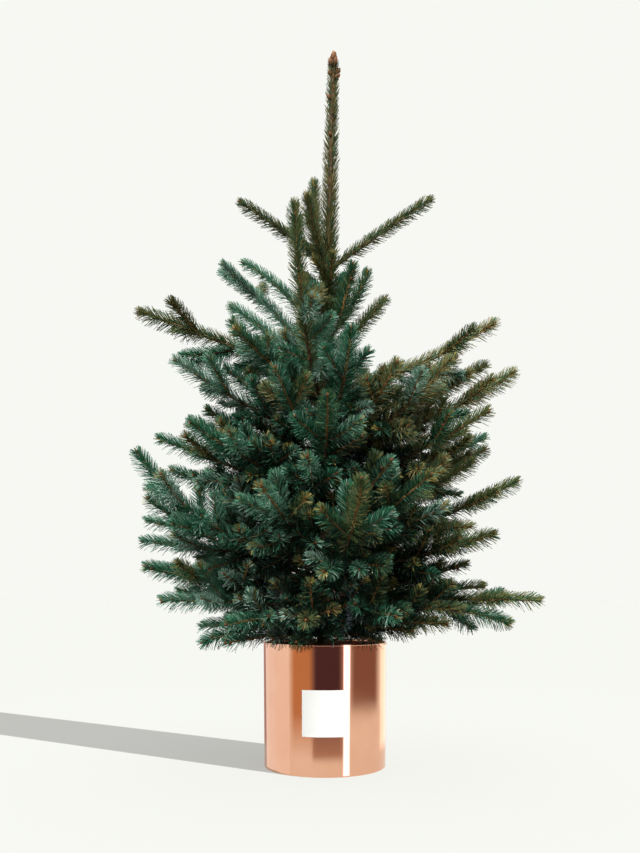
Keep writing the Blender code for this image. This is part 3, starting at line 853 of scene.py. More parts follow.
# The first zone that holds a spray's middle counts. The top and the right of the tree are more
# olive, its left and its foot bluer, and its back has some of each.
ZONES = (
    Zone((0.9, 0.4, 0.8, 0.6, 2.2, 1.4, 2.8), low=0.70),
    Zone((1.4, 2.2, 2.2, 0.6, 1.8, 0.8, 0.4), front=0.07),
    Zone((2.2, 0.9, 0.2, 0.0, 2.4, 0.1, 1.6), left=0.05, high=0.38),
    Zone((0.5, 3.0, 4.0, 2.0, 0.2, 0.0, 0.0), right=-0.05, high=0.42),
    Zone((0.0, 0.1, 0.4, 0.9, 1.8, 6.0, 0.6), left=0.05, low=0.54),
    Zone((1.1, 1.0, 0.9, 0.3, 2.7, 1.5, 0.5), left=0.05),
    Zone((1.4, 2.2, 2.6, 1.4, 1.2, 0.6, 0.2), low=0.54),
    Zone((1.9, 3.3, 2.2, 0.4, 0.7, 0.2, 0.0)),
)


class Play(NamedTuple):
    """The least and the most that chance gives to the measures of one kind of shoot."""

    turn: Pair  # degrees round the stem
    spread: Pair  # degrees from the stem
    length: Pair  # a share of the length that the rule gives, or metres


@dataclass
class Crown:
    """Grows all shoots of the crown by the source's rule, carried on to finer shoots."""

    trunk: Trunk
    seed: int = 1160
    trunk_points: int = 200
    bough_points: int = 121
    clearance: float = 0.020  # between the middle lines of shoots that fill the crown
    # Boughs
    bough_root: float = 0.0042  # radius
    small_bough_root: float = 0.0030
    bough_tip: float = 0.0015
    bare_share: float = 0.10
    short_bare: float = 0.012
    tip_needles: float = 0.0115  # what the last needles add to a shoot's reach
    needle: float = 0.0204  # length on a bough
    needle_less: float = 0.0006  # shorter by this on each finer rank
    joints: int = 6
    first_joint: float = 0.020  # no yearly joint stands nearer to the trunk
    year_spacing: float = 0.066
    last_year_share: float = 0.40
    last_year_shortest: float = 0.070
    last_year_longest: float = 0.108
    # Any side shoot
    side_root: float = 0.0014
    side_thicker: float = 0.0008  # what a long one's root gains
    side_long: float = 0.09
    side_tip: float = 0.0013
    side_bare: float = 0.005
    side_shortest: float = 0.010
    side_trims: Floats = (1.0, 0.8, 0.62)  # lengths tried where room is scarce
    side_points: int = 25
    side_bend: float = 0.06  # the most that it bends aside
    side_near: float = 0.004  # over this its stem's direction is read
    side_upright: float = 0.05  # nearer to upright, a stem has no level side
    upturn: float = 0.12
    # The source's side shoots at a yearly joint
    side_angle: float = 47.0
    side_turns: tuple[Floats, ...] = ((4.0, 176.0), (-55.0, 235.0), (62.0, 118.0))
    side_shares: Floats = (0.74, 0.95, 0.95)
    side_play: Play = Play((-14.0, 14.0), (-5.0, 5.0), (0.88, 1.08))
    side_clear: float = 0.013
    third_high: float = 0.6  # above it, third joints keep to the closed crown too
    # More of them at the same joints
    more_turns: tuple[Floats, ...] = ((90.0,), (172.0, 84.0), (-10.0, 190.0, -90.0),
                                      (20.0, 160.0, -60.0))
    more_share: float = 0.78
    more_back: float = 0.006  # the most that they stand back from the joint
    more_play: Play = Play((-16.0, 16.0), (-6.0, 10.0), (0.8, 1.15))
    # Side shoots of side shoots
    finer_young: Floats = (0.42,)  # where on a stem of two years, as a share
    finer_old: Floats = (0.55, 0.28)
    finer_turns: Floats = (5.0, 175.0)
    finer_play: Play = Play((-30.0, 30.0), (-6.0, 8.0), (0.55, 0.75))
    finer_run: float = 0.014  # none stands nearer to its stem's root
    finer_stem: float = 0.045  # no shorter stem has any
    # Short shoots between a bough's yearly joints
    between_turns: Floats = (0.0, 180.0, 60.0, 240.0, 120.0, 300.0)
    between_angle: float = 52.0
    between_play: Play = Play((-20.0, 20.0), (-8.0, 8.0), (0.048, 0.072))
    between_start: float = 0.030
    between_share: float = 0.14
    between_end: float = 0.008
    between_steps: Pair = (0.012, 0.020)
    # Small shoots on the trunk
    stem_low: float = 0.213
    stem_high: float = 0.800
    stem_start: float = 40.0
    stem_turn: float = 137.5
    stem_angle: float = 96.0
    stem_closing: float = 56.0  # how much steeper they stand at the top
    closing_power: float = 0.6
    stem_play: Play = Play((0.0, 0.0), (-8.0, 8.0), (0.085, 0.130))
    stem_shorter: float = 0.035  # at the top
    stem_step: float = 0.0060
    stem_wider: float = 0.004  # what the step gains at the top
    # How far the closed crown reaches at each height, as pairs. Outside it the photograph
    # shows open places between single boughs.
    depth_edge: Pairs = (
        (0.20, 0.21), (0.27, 0.26), (0.40, 0.26), (0.55, 0.25), (0.66, 0.23), (0.74, 0.17),
        (0.82, 0.09), (0.95, 0.05))
    left_edge: Pairs = (
        (0.20, 0.14), (0.24, 0.195), (0.28, 0.26), (0.33, 0.215), (0.35, 0.200), (0.38, 0.28),
        (0.44, 0.23), (0.51, 0.245), (0.56, 0.23), (0.60, 0.19), (0.65, 0.18), (0.69, 0.14),
        (0.72, 0.055), (0.86, 0.060))
    right_edge: Pairs = (
        (0.20, 0.11), (0.24, 0.19), (0.28, 0.22), (0.33, 0.23), (0.37, 0.25), (0.41, 0.195),
        (0.45, 0.21), (0.50, 0.24), (0.60, 0.25), (0.63, 0.20), (0.65, 0.062), (0.70, 0.062),
        (0.76, 0.050), (0.80, 0.060), (0.84, 0.012))
    rim_height: float = 0.212  # shoots stay above it where the planter stands
    rim_radius: float = 0.118
    shoots: list[Shoot] = field(default_factory=list)
    room: Room = field(default_factory=lambda: Room(0.04))

    def bough_line(self, bough: Bough) -> Array:
        """The middle line of a bough, as the source bends it.

        Args:
            bough: the bough.

        Returns:
            Finely spaced points.
        """
        away = outwards(bough.bearing)
        level = np.array([bough.height])
        centre = self.trunk.axis(level)[0]
        foot = centre + away * (self.trunk.radius(level)[0] + self.trunk.gap)
        tip = centre + away * bough.reach
        tip[0] += self.trunk.tips_aside
        tip[2] = bough.tip
        bend = foot + away * (tip - foot).dot(away) * (0.5 + bough.lift)
        bend[2] = foot[2] + (tip[2] - foot[2]) * (0.5 - bough.lift)
        share = np.linspace(0.0, 1.0, self.bough_points)[:, None]
        return foot * (1 - share) ** 2 + bend * 2 * share * (1 - share) + tip * share**2

    def last_year(self, length: float) -> float:
        """The length of a bough's newest growth."""
        newest = max(self.last_year_shortest, length * self.last_year_share)
        return min(self.last_year_longest, newest)

    def tint_at(self, point: Array, rng: random.Random) -> Tint:
        """Deals a tint to a spray by its place in the crown.

        Args:
            point: the spray's middle.
            rng: the random source.

        Returns:
            The tint.
        """
        zone = next(zone for zone in ZONES if zone.holds(point))
        return rng.choices(DEALT, zone.weights)[0]

    def add(self, shoot: Shoot) -> int:
        """Adds a shoot.

        Args:
            shoot: the shoot.

        Returns:
            Its number.
        """
        self.shoots.append(shoot)
        self.room.add(shoot.line, len(self.shoots) - 1)
        return len(self.shoots) - 1

    def offshoot(self, parent: int, run: float, turn: float, spread: float, length: float,
                 rank: int, age: int, rng: random.Random, clear: float,
                 filling: bool = True) -> int | None:
        """Grows a side shoot, shorter where room is scarce, or leaves it out.

        Args:
            parent: the number of the shoot that it grows on.
            run: where on it, in metres from its root.
            turn: the way round it, in degrees, 0 to one side and 90 above.
            spread: the angle to the parent, in degrees.
            length: its length with its last needles.
            rank: its rank.
            age: its years of growth.
            rng: the random source.
            clear: how far its outer half stays from other shoots.
            filling: whether it only fills the crown, and so stays inside its outline.

        Returns:
            The new shoot's number, or None.
        """
        stem = self.shoots[parent]
        near = along(stem.line, np.array([run - self.side_near, run, run + self.side_near]))
        tangent = unit(near[2] - near[0])
        level = np.cross(tangent, UP)
        level = unit(level) if np.linalg.norm(level) > self.side_upright else RIGHT
        above = np.cross(level, tangent)
        roll = math.radians(turn)
        opened = math.radians(spread)
        across = level * math.cos(roll) + above * math.sin(roll)
        direction = tangent * math.cos(opened) + across * math.sin(opened)
        bend = rng.uniform(-self.side_bend, self.side_bend)
        for trim in self.side_trims:
            reach = length * trim - self.tip_needles
            share = np.linspace(0.0, 1.0, self.side_points)[:, None]
            line = near[1] + direction * reach * share
            line = (line + UP * reach * self.upturn * share**2
                    + level * bend * reach * share * (1 - share))
            line = evenly(line, 0.0, math.inf, POINT_STEP)
            gaps = self.room.distances(line, parent)
            half = len(line) // 2
            if reach < self.side_shortest or (filling and not self.within_outline(line[half:])):
                continue
            if (gaps[half - 1:].min() > 0.5 * clear and gaps[half:].min() > clear
                    and self.above_planter(line)):
                thick = self.side_root + self.side_thicker * min(1.0, reach / self.side_long)
                return self.add(Shoot(line, thick, self.side_tip, self.side_bare, rank, age,
                                      self.tint_at(line[half], rng),
                                      self.needle - self.needle_less * rank))
        return None

    def above_planter(self, line: Array) -> bool:
        """Whether a line stays above the compost and out of the planter's wall."""
        radius = np.hypot(line[:, 0], line[:, 1])
        return bool(np.all((line[:, 2] > self.rim_height) | (radius > self.rim_radius)))

    def within_outline(self, line: Array) -> bool:
        """Whether a line keeps out of the open places that show round the crown.

        Args:
            line: the shoot's outer half.

        Returns:
            True if it stays inside the closed crown, seen from the front and from above.
        """
        depth = read_off(self.depth_edge, line[:, 2])
        if (np.hypot(line[:, 0], line[:, 1]) > depth).any():
            return False
        nearness = VIEW_DISTANCE / (VIEW_DISTANCE + line[:, 1])
        seen = line[:, 0] * nearness
        height = VIEW_HEIGHT + (line[:, 2] - VIEW_HEIGHT) * nearness
        left = read_off(self.left_edge, height)
        right = read_off(self.right_edge, height)
        inside = (seen > self.tip_needles - left) & (seen < right - self.tip_needles)
        return bool(np.all(inside))

    def grow(self) -> None:
        """Grows boughs first, then side shoots year by year, then the finer ones."""
        heights = np.linspace(self.trunk.soil, self.trunk.leader_end, self.trunk_points)
        trunk = self.add(Shoot(self.trunk.axis(heights), self.trunk.foot_radius,
                               self.trunk.top_radius, 0.0, -1, 9, Tint.DEEP, 0.0))
        boughs = BOUGHS + WEAK_BOUGHS
        stems = [self.grow_bough(bough) for bough in boughs]
        for joint in range(self.joints):
            for bough, stem in zip(boughs, stems):
                self.grow_joint(bough, stem, joint)
        self.report("side shoots")
        self.grow_from_trunk(trunk)
        self.report("shoots on the trunk")
        firsts = [k for k, shoot in enumerate(self.shoots) if shoot.rank == 1 and shoot.age > 1]
        for number in firsts:
            self.grow_finer(number)
        self.report("finer shoots")
        for bough, stem in zip(boughs, stems):
            self.grow_between(bough, stem)
        self.report("short shoots")
        self.shoots = [shoot for shoot in self.shoots if shoot.rank >= 0]

    def report(self, step: str) -> None:
        """Logs how far the crown has grown."""
        metres = sum(shoot.length for shoot in self.shoots)
        LOG.info("%d shoots, %.1f m, after the %s", len(self.shoots), metres, step)

    def grow_bough(self, bough: Bough) -> int:
        """Grows the stem of a bough.

        Args:
            bough: the bough.

        Returns:
            The number of its shoot.
        """
        rng = random.Random(f"{self.seed} {bough.name}")
        line = self.bough_line(bough)
        length = runs_of(line)[-1]
        line = evenly(line, 0.0, length - self.tip_needles, POINT_STEP)
        thick = self.bough_root if bough.years else self.small_bough_root
        bare = self.short_bare
        if bough.years:
            bare = max(bare, length * self.bare_share)
        age = 1 + max(1, round((length - self.last_year(length)) / self.year_spacing))
        tint = bough.tint or self.tint_at(line[-len(line) // 4], rng)
        return self.add(Shoot(line, thick, self.bough_tip, bare, 0, age, tint, self.needle))

    def grow_from_trunk(self, trunk: int) -> None:
        """Grows the small shoots that stand on the trunk between the whorls of boughs.

        Args:
            trunk: the trunk's number.
        """
        rng = random.Random(f"{self.seed} trunk")
        height = self.stem_low
        turn = self.stem_start
        while height < self.stem_high:
            turn += self.stem_turn
            share = (height - self.stem_low) / (self.stem_high - self.stem_low)
            angle = self.stem_angle - self.stem_closing * share**self.closing_power
            self.offshoot(trunk, height - self.trunk.soil, turn,
                          angle + rng.uniform(*self.stem_play.spread),
                          rng.uniform(*self.stem_play.length) - self.stem_shorter * share,
                          1, 2, rng, self.clearance)
            height += self.stem_step + self.stem_wider * share

    def grow_joint(self, bough: Bough, stem: int, joint: int) -> None:
        """Grows the side shoots of one yearly joint.

        Args:
            bough: the bough.
            stem: the number of its own shoot.
            joint: the joint's number, counted inwards from the tip.
        """
        length = self.shoots[stem].length + self.tip_needles
        newest = self.last_year(length)
        run = length - newest - self.year_spacing * joint
        if not bough.years or run < max(self.first_joint, length * self.bare_share):
            return
        rng = random.Random(f"{self.seed} {joint} {bough.name}")
        if joint < bough.years:
            for turn in self.side_turns[joint]:
                roll = turn + rng.uniform(*self.side_play.turn)
                spread = self.side_angle + rng.uniform(*self.side_play.spread)
                share = self.side_shares[joint] * rng.uniform(*self.side_play.length)
                self.offshoot(stem, run, roll, spread, newest * share, 1, joint + 1, rng,
                              self.side_clear, joint == 2 and bough.height > self.third_high)
        for turn in self.more_turns[min(joint, len(self.more_turns) - 1)]:
            share = self.more_share * rng.uniform(*self.more_play.length)
            self.offshoot(stem, run - rng.uniform(0.0, self.more_back),
                          turn + rng.uniform(*self.more_play.turn),
                          self.side_angle + rng.uniform(*self.more_play.spread),
                          newest * share, 1, joint + 1, rng, self.clearance)

    def grow_finer(self, number: int) -> None:
        """Grows the side shoots of an older side shoot.

        Args:
            number: its number.
        """
        stem = self.shoots[number]
        rng = random.Random(f"{self.seed} finer {number}")
        for share in self.finer_young if stem.age == 2 else self.finer_old:
            run = stem.length * share
            if run < self.finer_run or stem.length < self.finer_stem:
                continue
            for turn in self.finer_turns:
                self.offshoot(number, run, turn + rng.uniform(*self.finer_play.turn),
                              self.side_angle + rng.uniform(*self.finer_play.spread),
                              stem.length * rng.uniform(*self.finer_play.length), 2, 1, rng,
                              self.clearance)

    def grow_between(self, bough: Bough, stem: int) -> None:
        """Grows short shoots between a bough's yearly joints.

        Args:
            bough: the bough.
            stem: the number of its own shoot.
        """
        rng = random.Random(f"{self.seed} between {bough.name}")
        length = self.shoots[stem].length
        run = max(self.between_start, length * self.between_share)
        step = rng.randrange(len(self.between_turns))
        while run < length - self.last_year(length) - self.between_end:
            step += 1
            turn = self.between_turns[step % len(self.between_turns)]
            self.offshoot(stem, run, turn + rng.uniform(*self.between_play.turn),
                          self.between_angle + rng.uniform(*self.between_play.spread),
                          rng.uniform(*self.between_play.length), 1, 1, rng, self.clearance)
            run += rng.uniform(*self.between_steps)


@dataclass
class Wood:
    """Stems of all shoots: old bark on the inner wood, brown skin on the newest growth."""

    twig_sides: int = 5
    bough_sides: int = 9
    twig_step: float = 0.008
    bough_step: float = 0.005
    shortest: float = 0.008
    newest_share: float = 0.5  # of a side shoot of more than one year
    peg: float = 0.00022  # how far the needle pegs stand out of a young twig
    old_peg: float = 2.0  # how much further they stand out of old wood
    pegs: Pair = (-0.4, 1.0)

    def tube(self, line: Array, radii: Array, sides: int, rough: float, rng: Generator) -> Shape:
        """Vertices and faces of one closed, slightly knobbly tube.

        Args:
            line: its middle line.
            radii: its radius at each point.
            sides: its sides.
            rough: how much each vertex may stand out.
            rng: the random source.

        Returns:
            Vertex places and faces with four corners.
        """
        _, first, second = frames_of(line)
        turns = np.linspace(0.0, math.tau, sides, endpoint=False)
        out = around(first[:, None], second[:, None], turns[None])
        swell = radii[:, None, None] + rough * rng.uniform(*self.pegs, (len(line), sides, 1))
        rings = (line[:, None] + out * swell).reshape(-1, 3)
        places = np.vstack([rings, line[:1], line[-1:]])
        foot, head = np.full(sides, len(rings)), np.full(sides, len(rings) + 1)
        low = np.arange(sides)
        top = low + (len(line) - 1) * sides
        low_cap = np.stack([np.roll(low, -1), low, foot, foot], axis=-1)
        top_cap = np.stack([top, np.roll(top, -1), head, head], axis=-1)
        return places, np.vstack([walls_of(len(line), sides), low_cap, top_cap])

    def build(self, crown: Crown, old_bark: Material, young_bark: Material,
              nodes: list[str]) -> None:
        """Makes the boughs and the joined twigs.

        Args:
            crown: the grown crown.
            old_bark: finish of wood of two years and more.
            young_bark: finish of the newest wood.
            nodes: the frame's bough nodes.
        """
        rng = np.random.default_rng(crown.seed)
        kinds = {"bough_bark": [], "old_twigs": [], "young_twigs": []}
        for shoot in crown.shoots:
            bough = shoot.rank == 0
            newest = crown.last_year(shoot.length) if bough else self.newest_share * shoot.length
            split = shoot.length - newest if shoot.age > 1 else 0.0
            for start, end, old in ((0.0, split, True), (split, shoot.length, False)):
                if end - start < self.shortest:
                    continue
                line = evenly(shoot.line, start, end, self.bough_step if bough else self.twig_step)
                radii = shoot.radii(start + runs_of(line))
                name = "young_twigs"
                if old:
                    name = "bough_bark" if bough else "old_twigs"
                sides = self.bough_sides if bough and old else self.twig_sides
                rough = self.peg * (self.old_peg if old else 1.0)
                kinds[name].append(self.tube(line, radii, sides, rough, rng))
        for name, parts in kinds.items():
            bark = young_bark if name == "young_twigs" else old_bark
            place(name, joined(name, parts), bark, "spruce_bark",
                  nodes if name == "bough_bark" else [])


class Sleeve(NamedTuple):
    """Needles that stand on a length of the trunk."""

    low: float
    high: float
    per_metre: float
    lean: float  # degrees from the trunk
    needle: float  # needle length
    tints: tuple[Tint, ...]


# Thin on last year's trunk, close on the leader.
SLEEVES = (
    Sleeve(0.560, Trunk.leader_base, 2200.0, 44.0, 0.0190,
           (Tint.FOREST, Tint.DEEP, Tint.OLIVE, Tint.FOREST)),
    Sleeve(Trunk.leader_base, Trunk.leader_end, 4700.0, 36.0, 0.0214,
           (Tint.MOSS, Tint.DEEP, Tint.MOSS, Tint.MOSS, Tint.SHADED, Tint.MOSS, Tint.OLIVE)),
)


@dataclass
class Needles:
    """All needles, gathered by tint.

    A needle is a sliver with four faces: an edge across the root, and a shorter edge turned
    square to it at the tip, so that it is four-angled in its middle as a spruce needle is.
    """

    root_half: float = 0.00084  # half of each edge; a little larger than life
    tip_half: float = 0.00042
    most: int = 48000  # needles in one piece
    per_metre: float = 3900.0
    tuft: int = 26  # more of them round the bud
    tuft_run: float = 0.010
    fewest: int = 8  # beside the tuft
    rolls: Floats = (0.0, 1.1, 2.3, 0.6, 1.7, 2.8, 0.3, 1.4, 2.0, 2.6, 0.9)
    turn_play: float = 0.2  # radians off the even spiral
    seat: float = 0.8  # where its root stands, as a share of the stem's radius
    # How they lean away from the stem, in degrees, and turn up
    lean: float = 50.0
    lean_above: float = 11.0  # less on the upper side
    lean_tip: float = 20.0  # less at the shoot's tip
    lean_high: float = 7.0  # less high on the tree
    lean_play: float = 3.0
    rise: float = 0.05
    # How their length differs from the shoot's own
    shorter_above: float = 0.04
    shorter_tip: float = 0.36
    shorter_high: float = 0.14
    length_play: Pair = (0.88, 1.06)
    first_share: float = 0.55  # of the first ones on a shoot
    first_run: float = 0.02
    tip_run: float = 0.018
    high_from: float = 0.70
    high_run: float = 0.12
    # How many are lost: with each year past the first, and under the shoot
    full_run: float = 0.09
    year_run: float = 0.066
    lost_yearly: float = 0.12
    lost_below: Floats = (0.30, 0.55, 0.85)
    # How the tints of one spray are dealt
    lighter_from: float = 0.82
    darker_from: float = 0.60
    young_near: float = 0.25
    young_shares: Floats = (0.0, 0.04, 0.10, 0.34)
    shaded_most: float = 0.85
    shaded_tips: float = 0.5  # how many of those at the tips are spared
    # Where the dark tint paints the crown's shade: from so deep inside, and only under some height
    shade_from: float = 0.22
    shade_run: float = 0.30
    shade_top: float = 0.62
    shade_fade: float = 0.14
    foot_top: float = 0.42  # at the foot the painted shade reaches further out on the right, and less far on the left
    foot_fade: float = 0.12
    foot_left: float = -0.10
    foot_aside: float = 0.06
    foot_more: float = 0.12
    # On the trunk
    trunk_seat: float = 0.85
    trunk_closing: float = 9.0  # less lean at the leader's tip
    trunk_play: float = 3.5
    trunk_shorter: float = 0.24
    trunk_lengths: Pair = (0.85, 1.10)
    thin_front: float = -0.45  # on the leader, where its stem shows
    thin_from: float = 0.25
    thin_lost: float = 0.66
    gathered: dict[Tint, list[Array]] = field(default_factory=dict)

    def gather(self, roots: Array, outs: Array, tangents: Array,
               leans: Array, lengths: Array, tints: list[Tint], rise: float) -> None:
        """Works out a batch of needles.

        Args:
            roots: where each stands.
            outs: the direction straight out of the stem there.
            tangents: the stem's direction there.
            leans: the angle in radians between needle and stem.
            lengths: needle lengths.
            tints: needle tints.
            rise: how strongly the needles turn up.
        """
        heading = unit(around(tangents, outs, leans) + UP * rise)
        across = unit(np.cross(heading, tangents) + 1e-6)
        other = np.cross(heading, across)
        rolls = np.resize(np.array(self.rolls), len(roots))
        first = around(across, other, rolls)
        second = around(other, -across, rolls)
        tips = roots + heading * lengths[:, None]
        places = np.stack([roots - first * self.root_half, roots + first * self.root_half,
                           tips - second * self.tip_half, tips + second * self.tip_half], axis=1)
        for tint in set(tints):
            chosen = np.array([t is tint for t in tints])
            self.gathered.setdefault(tint, []).append(places[chosen])

    def spiral(self, count: int, rng: Generator) -> Array:
        """Turns of needles round a stem, each past the last by the golden angle.

        Args:
            count: how many needles.
            rng: the random source.

        Returns:
            A turn in radians for each.
        """
        play = rng.uniform(-self.turn_play, self.turn_play, count)
        return np.arange(count) * GOLDEN_TURN + play

    def cover(self, shoot: Shoot, rng: Generator) -> None:
        """Sets needles in a spiral all round a shoot.

        Args:
            shoot: the shoot.
            rng: the random source.
        """
        usable = shoot.length - shoot.bare
        plain = int(self.per_metre * usable)
        if plain < self.fewest:
            return
        even = (np.arange(plain) + rng.uniform(0.0, 1.0, plain)) / plain
        tuft = shoot.length - self.tuft_run * rng.uniform(0.0, 1.0, self.tuft)
        runs = np.concatenate([shoot.bare + usable * even, tuft])
        turns = self.spiral(len(runs), rng)
        tangents, first, second = self.frames_at(shoot.line, runs)
        outs = around(first, second, turns)
        keep = self.kept(shoot, runs, outs, rng)
        runs, tangents, outs = runs[keep], tangents[keep], outs[keep]
        roots = along(shoot.line, runs) + outs * (shoot.radii(runs) * self.seat)[:, None]
        above = outs[:, 2]
        to_tip = 1.0 - ramp(shoot.length - runs, self.tip_run)
        high = ramp(roots[:, 2] - self.high_from, self.high_run)
        leans = np.radians(self.lean - self.lean_above * above - self.lean_tip * to_tip
                           - self.lean_high * high + rng.normal(0.0, self.lean_play, len(runs)))
        lengths = (shoot.needle * (1.0 - self.shorter_above * above)
                   * (1.0 - self.shorter_tip * to_tip) * rng.uniform(*self.length_play, len(runs)))
        lengths *= 1.0 - self.shorter_high * high
        grown = self.first_share + (runs - shoot.bare) / self.first_run
        lengths *= np.clip(grown, self.first_share, 1.0)
        tints = self.deal(shoot, to_tip, self.depth(roots), rng)
        self.gather(roots, outs, tangents, leans, lengths, tints, self.rise)

    def kept(self, shoot: Shoot, runs: Array, outs: Array, rng: Generator) -> Array:
        """Which needles there are: older wood has lost some, and the underside is a thin comb.

        Args:
            shoot: the shoot.
            runs: where each needle stands along it.
            outs: the direction straight out of the stem there.
            rng: the random source.

        Returns:
            True for each needle that there is.
        """
        years = np.clip((shoot.length - runs - self.full_run) / self.year_run, 0.0, 4.0)
        under = np.clip(-outs[:, 2], 0.0, 1.0)
        draws = rng.uniform(0.0, 1.0, len(runs))
        return draws > self.lost_yearly * years + rng.choice(self.lost_below) * under

    @staticmethod
    def frames_at(line: Array, runs: Array) -> tuple[Array, ...]:
        """The directions of a line's frame at given distances along it.

        Args:
            line: the line's points.
            runs: the distances.

        Returns:
            Tangents, first and second square directions.
        """
        at = runs_of(line)
        return tuple(unit(np.column_stack([np.interp(runs, at, ways[:, k]) for k in range(3)]))
                     for ways in frames_of(line))

    def depth(self, roots: Array) -> Array:
        """How much painted shade each needle takes, as the dark tint.

        Args:
            roots: where the needles stand.

        Returns:
            From 0 in the outer crown to 1 well inside its lower part.
        """
        height = roots[:, 2]
        reach = read_off(Crown.depth_edge, height)
        inside = 1.0 - np.hypot(roots[:, 0], roots[:, 1]) / reach
        aside = np.clip((roots[:, 0] - self.foot_left) / self.foot_aside, -1.0, 1.0)
        foot = ramp(self.foot_top - height, self.foot_fade) * aside
        deep = ramp(inside - self.shade_from + self.foot_more * foot, self.shade_run)
        return deep * ramp(self.shade_top - height, self.shade_fade)

    def deal(self, shoot: Shoot, to_tip: Array, depth: Array, rng: Generator) -> list[Tint]:
        """Deals the tints of one spray: its own, its neighbours', young ones and the dark tint of
        painted shade.

        Args:
            shoot: the shoot.
            to_tip: how near each needle stands to its tip, up to 1.
            depth: how much painted shade each needle takes.
            rng: the random source.

        Returns:
            A tint for each needle.
        """
        chance = rng.uniform(0.0, 1.0, len(to_tip))
        shade = rng.uniform(0.0, 1.0, len(to_tip)) < (
            self.shaded_most * depth * (1.0 - self.shaded_tips * to_tip))
        young = rng.choice(self.young_shares)
        darker, lighter = NEIGHBOURS[shoot.tint]
        tints = []
        for near, draw, shaded in zip(to_tip, chance, shade):
            if near > self.young_near and draw < young * near:
                tints.append(Tint.YOUNG)
            elif shaded:
                tints.append(Tint.SHADED)
            elif draw > self.lighter_from:
                tints.append(lighter)
            elif draw > self.darker_from:
                tints.append(darker)
            else:
                tints.append(shoot.tint)
        return tints

    def cover_trunk(self, trunk: Trunk, rng: Generator) -> None:
        """Sets needles close along the leader and thinner ones on last year's trunk.

        Args:
            trunk: the trunk.
            rng: the random source.
        """
        for sleeve in SLEEVES:
            count = int(sleeve.per_metre * (sleeve.high - sleeve.low))
            even = np.arange(count) + rng.uniform(0.0, 1.0, count)
            heights = sleeve.low + (sleeve.high - sleeve.low) * even / count
            turns = self.spiral(count, rng)
            outs = np.column_stack([np.cos(turns), np.sin(turns), np.zeros(count)])
            seats = trunk.radius(heights) * self.trunk_seat
            roots = trunk.axis(heights) + outs * seats[:, None]
            tangents = np.tile(UP, (count, 1))
            upward = ramp(heights - trunk.leader_base, trunk.leader_end - trunk.leader_base)
            leans = np.radians(sleeve.lean - self.trunk_closing * upward
                               + rng.normal(0.0, self.trunk_play, count))
            lengths = (sleeve.needle * (1.0 - self.trunk_shorter * upward)
                       * rng.uniform(*self.trunk_lengths, count))
            kept = ((outs[:, 1] > self.thin_front) | (upward < self.thin_from)
                    | (rng.uniform(0.0, 1.0, count) > self.thin_lost))
            picks = rng.integers(0, len(sleeve.tints), kept.sum())
            self.gather(roots[kept], outs[kept], tangents[kept], leans[kept], lengths[kept],
                        [sleeve.tints[pick] for pick in picks], 0.0)

    def build(self, finishes: dict[Tint, Material], nodes: list[str]) -> None:
        """Joins the needles of each tint into pieces.

        Args:
            finishes: the material of each tint.
            nodes: the frame's nodes that the needles stand for.
        """
        pattern = np.array([(0, 1, 2), (1, 0, 3), (2, 3, 0), (3, 2, 1)])
        for tint, batches in sorted(self.gathered.items(), key=lambda item: item[0].name):
            places = np.vstack(batches)
            parts = math.ceil(len(places) / self.most)
            for number, part in enumerate(np.array_split(places, parts)):
                faces = (pattern[None] + 4 * np.arange(len(part))[:, None, None]).reshape(-1, 3)
                name = f"needles_{tint.name.lower()}_{number + 1}"
                mesh = from_arrays(name, part.reshape(-1, 3), faces.tolist(), False)
                place(name, mesh, finishes[tint], "blue_spruce_needles", nodes)


class Seat(NamedTuple):
    """Where a bud stands on the leader."""

    rise: float  # over the leader's end
    bearing: float  # degrees
    opening: float  # how far it points aside; 0 in the middle
    size: float  # beside the usual bud


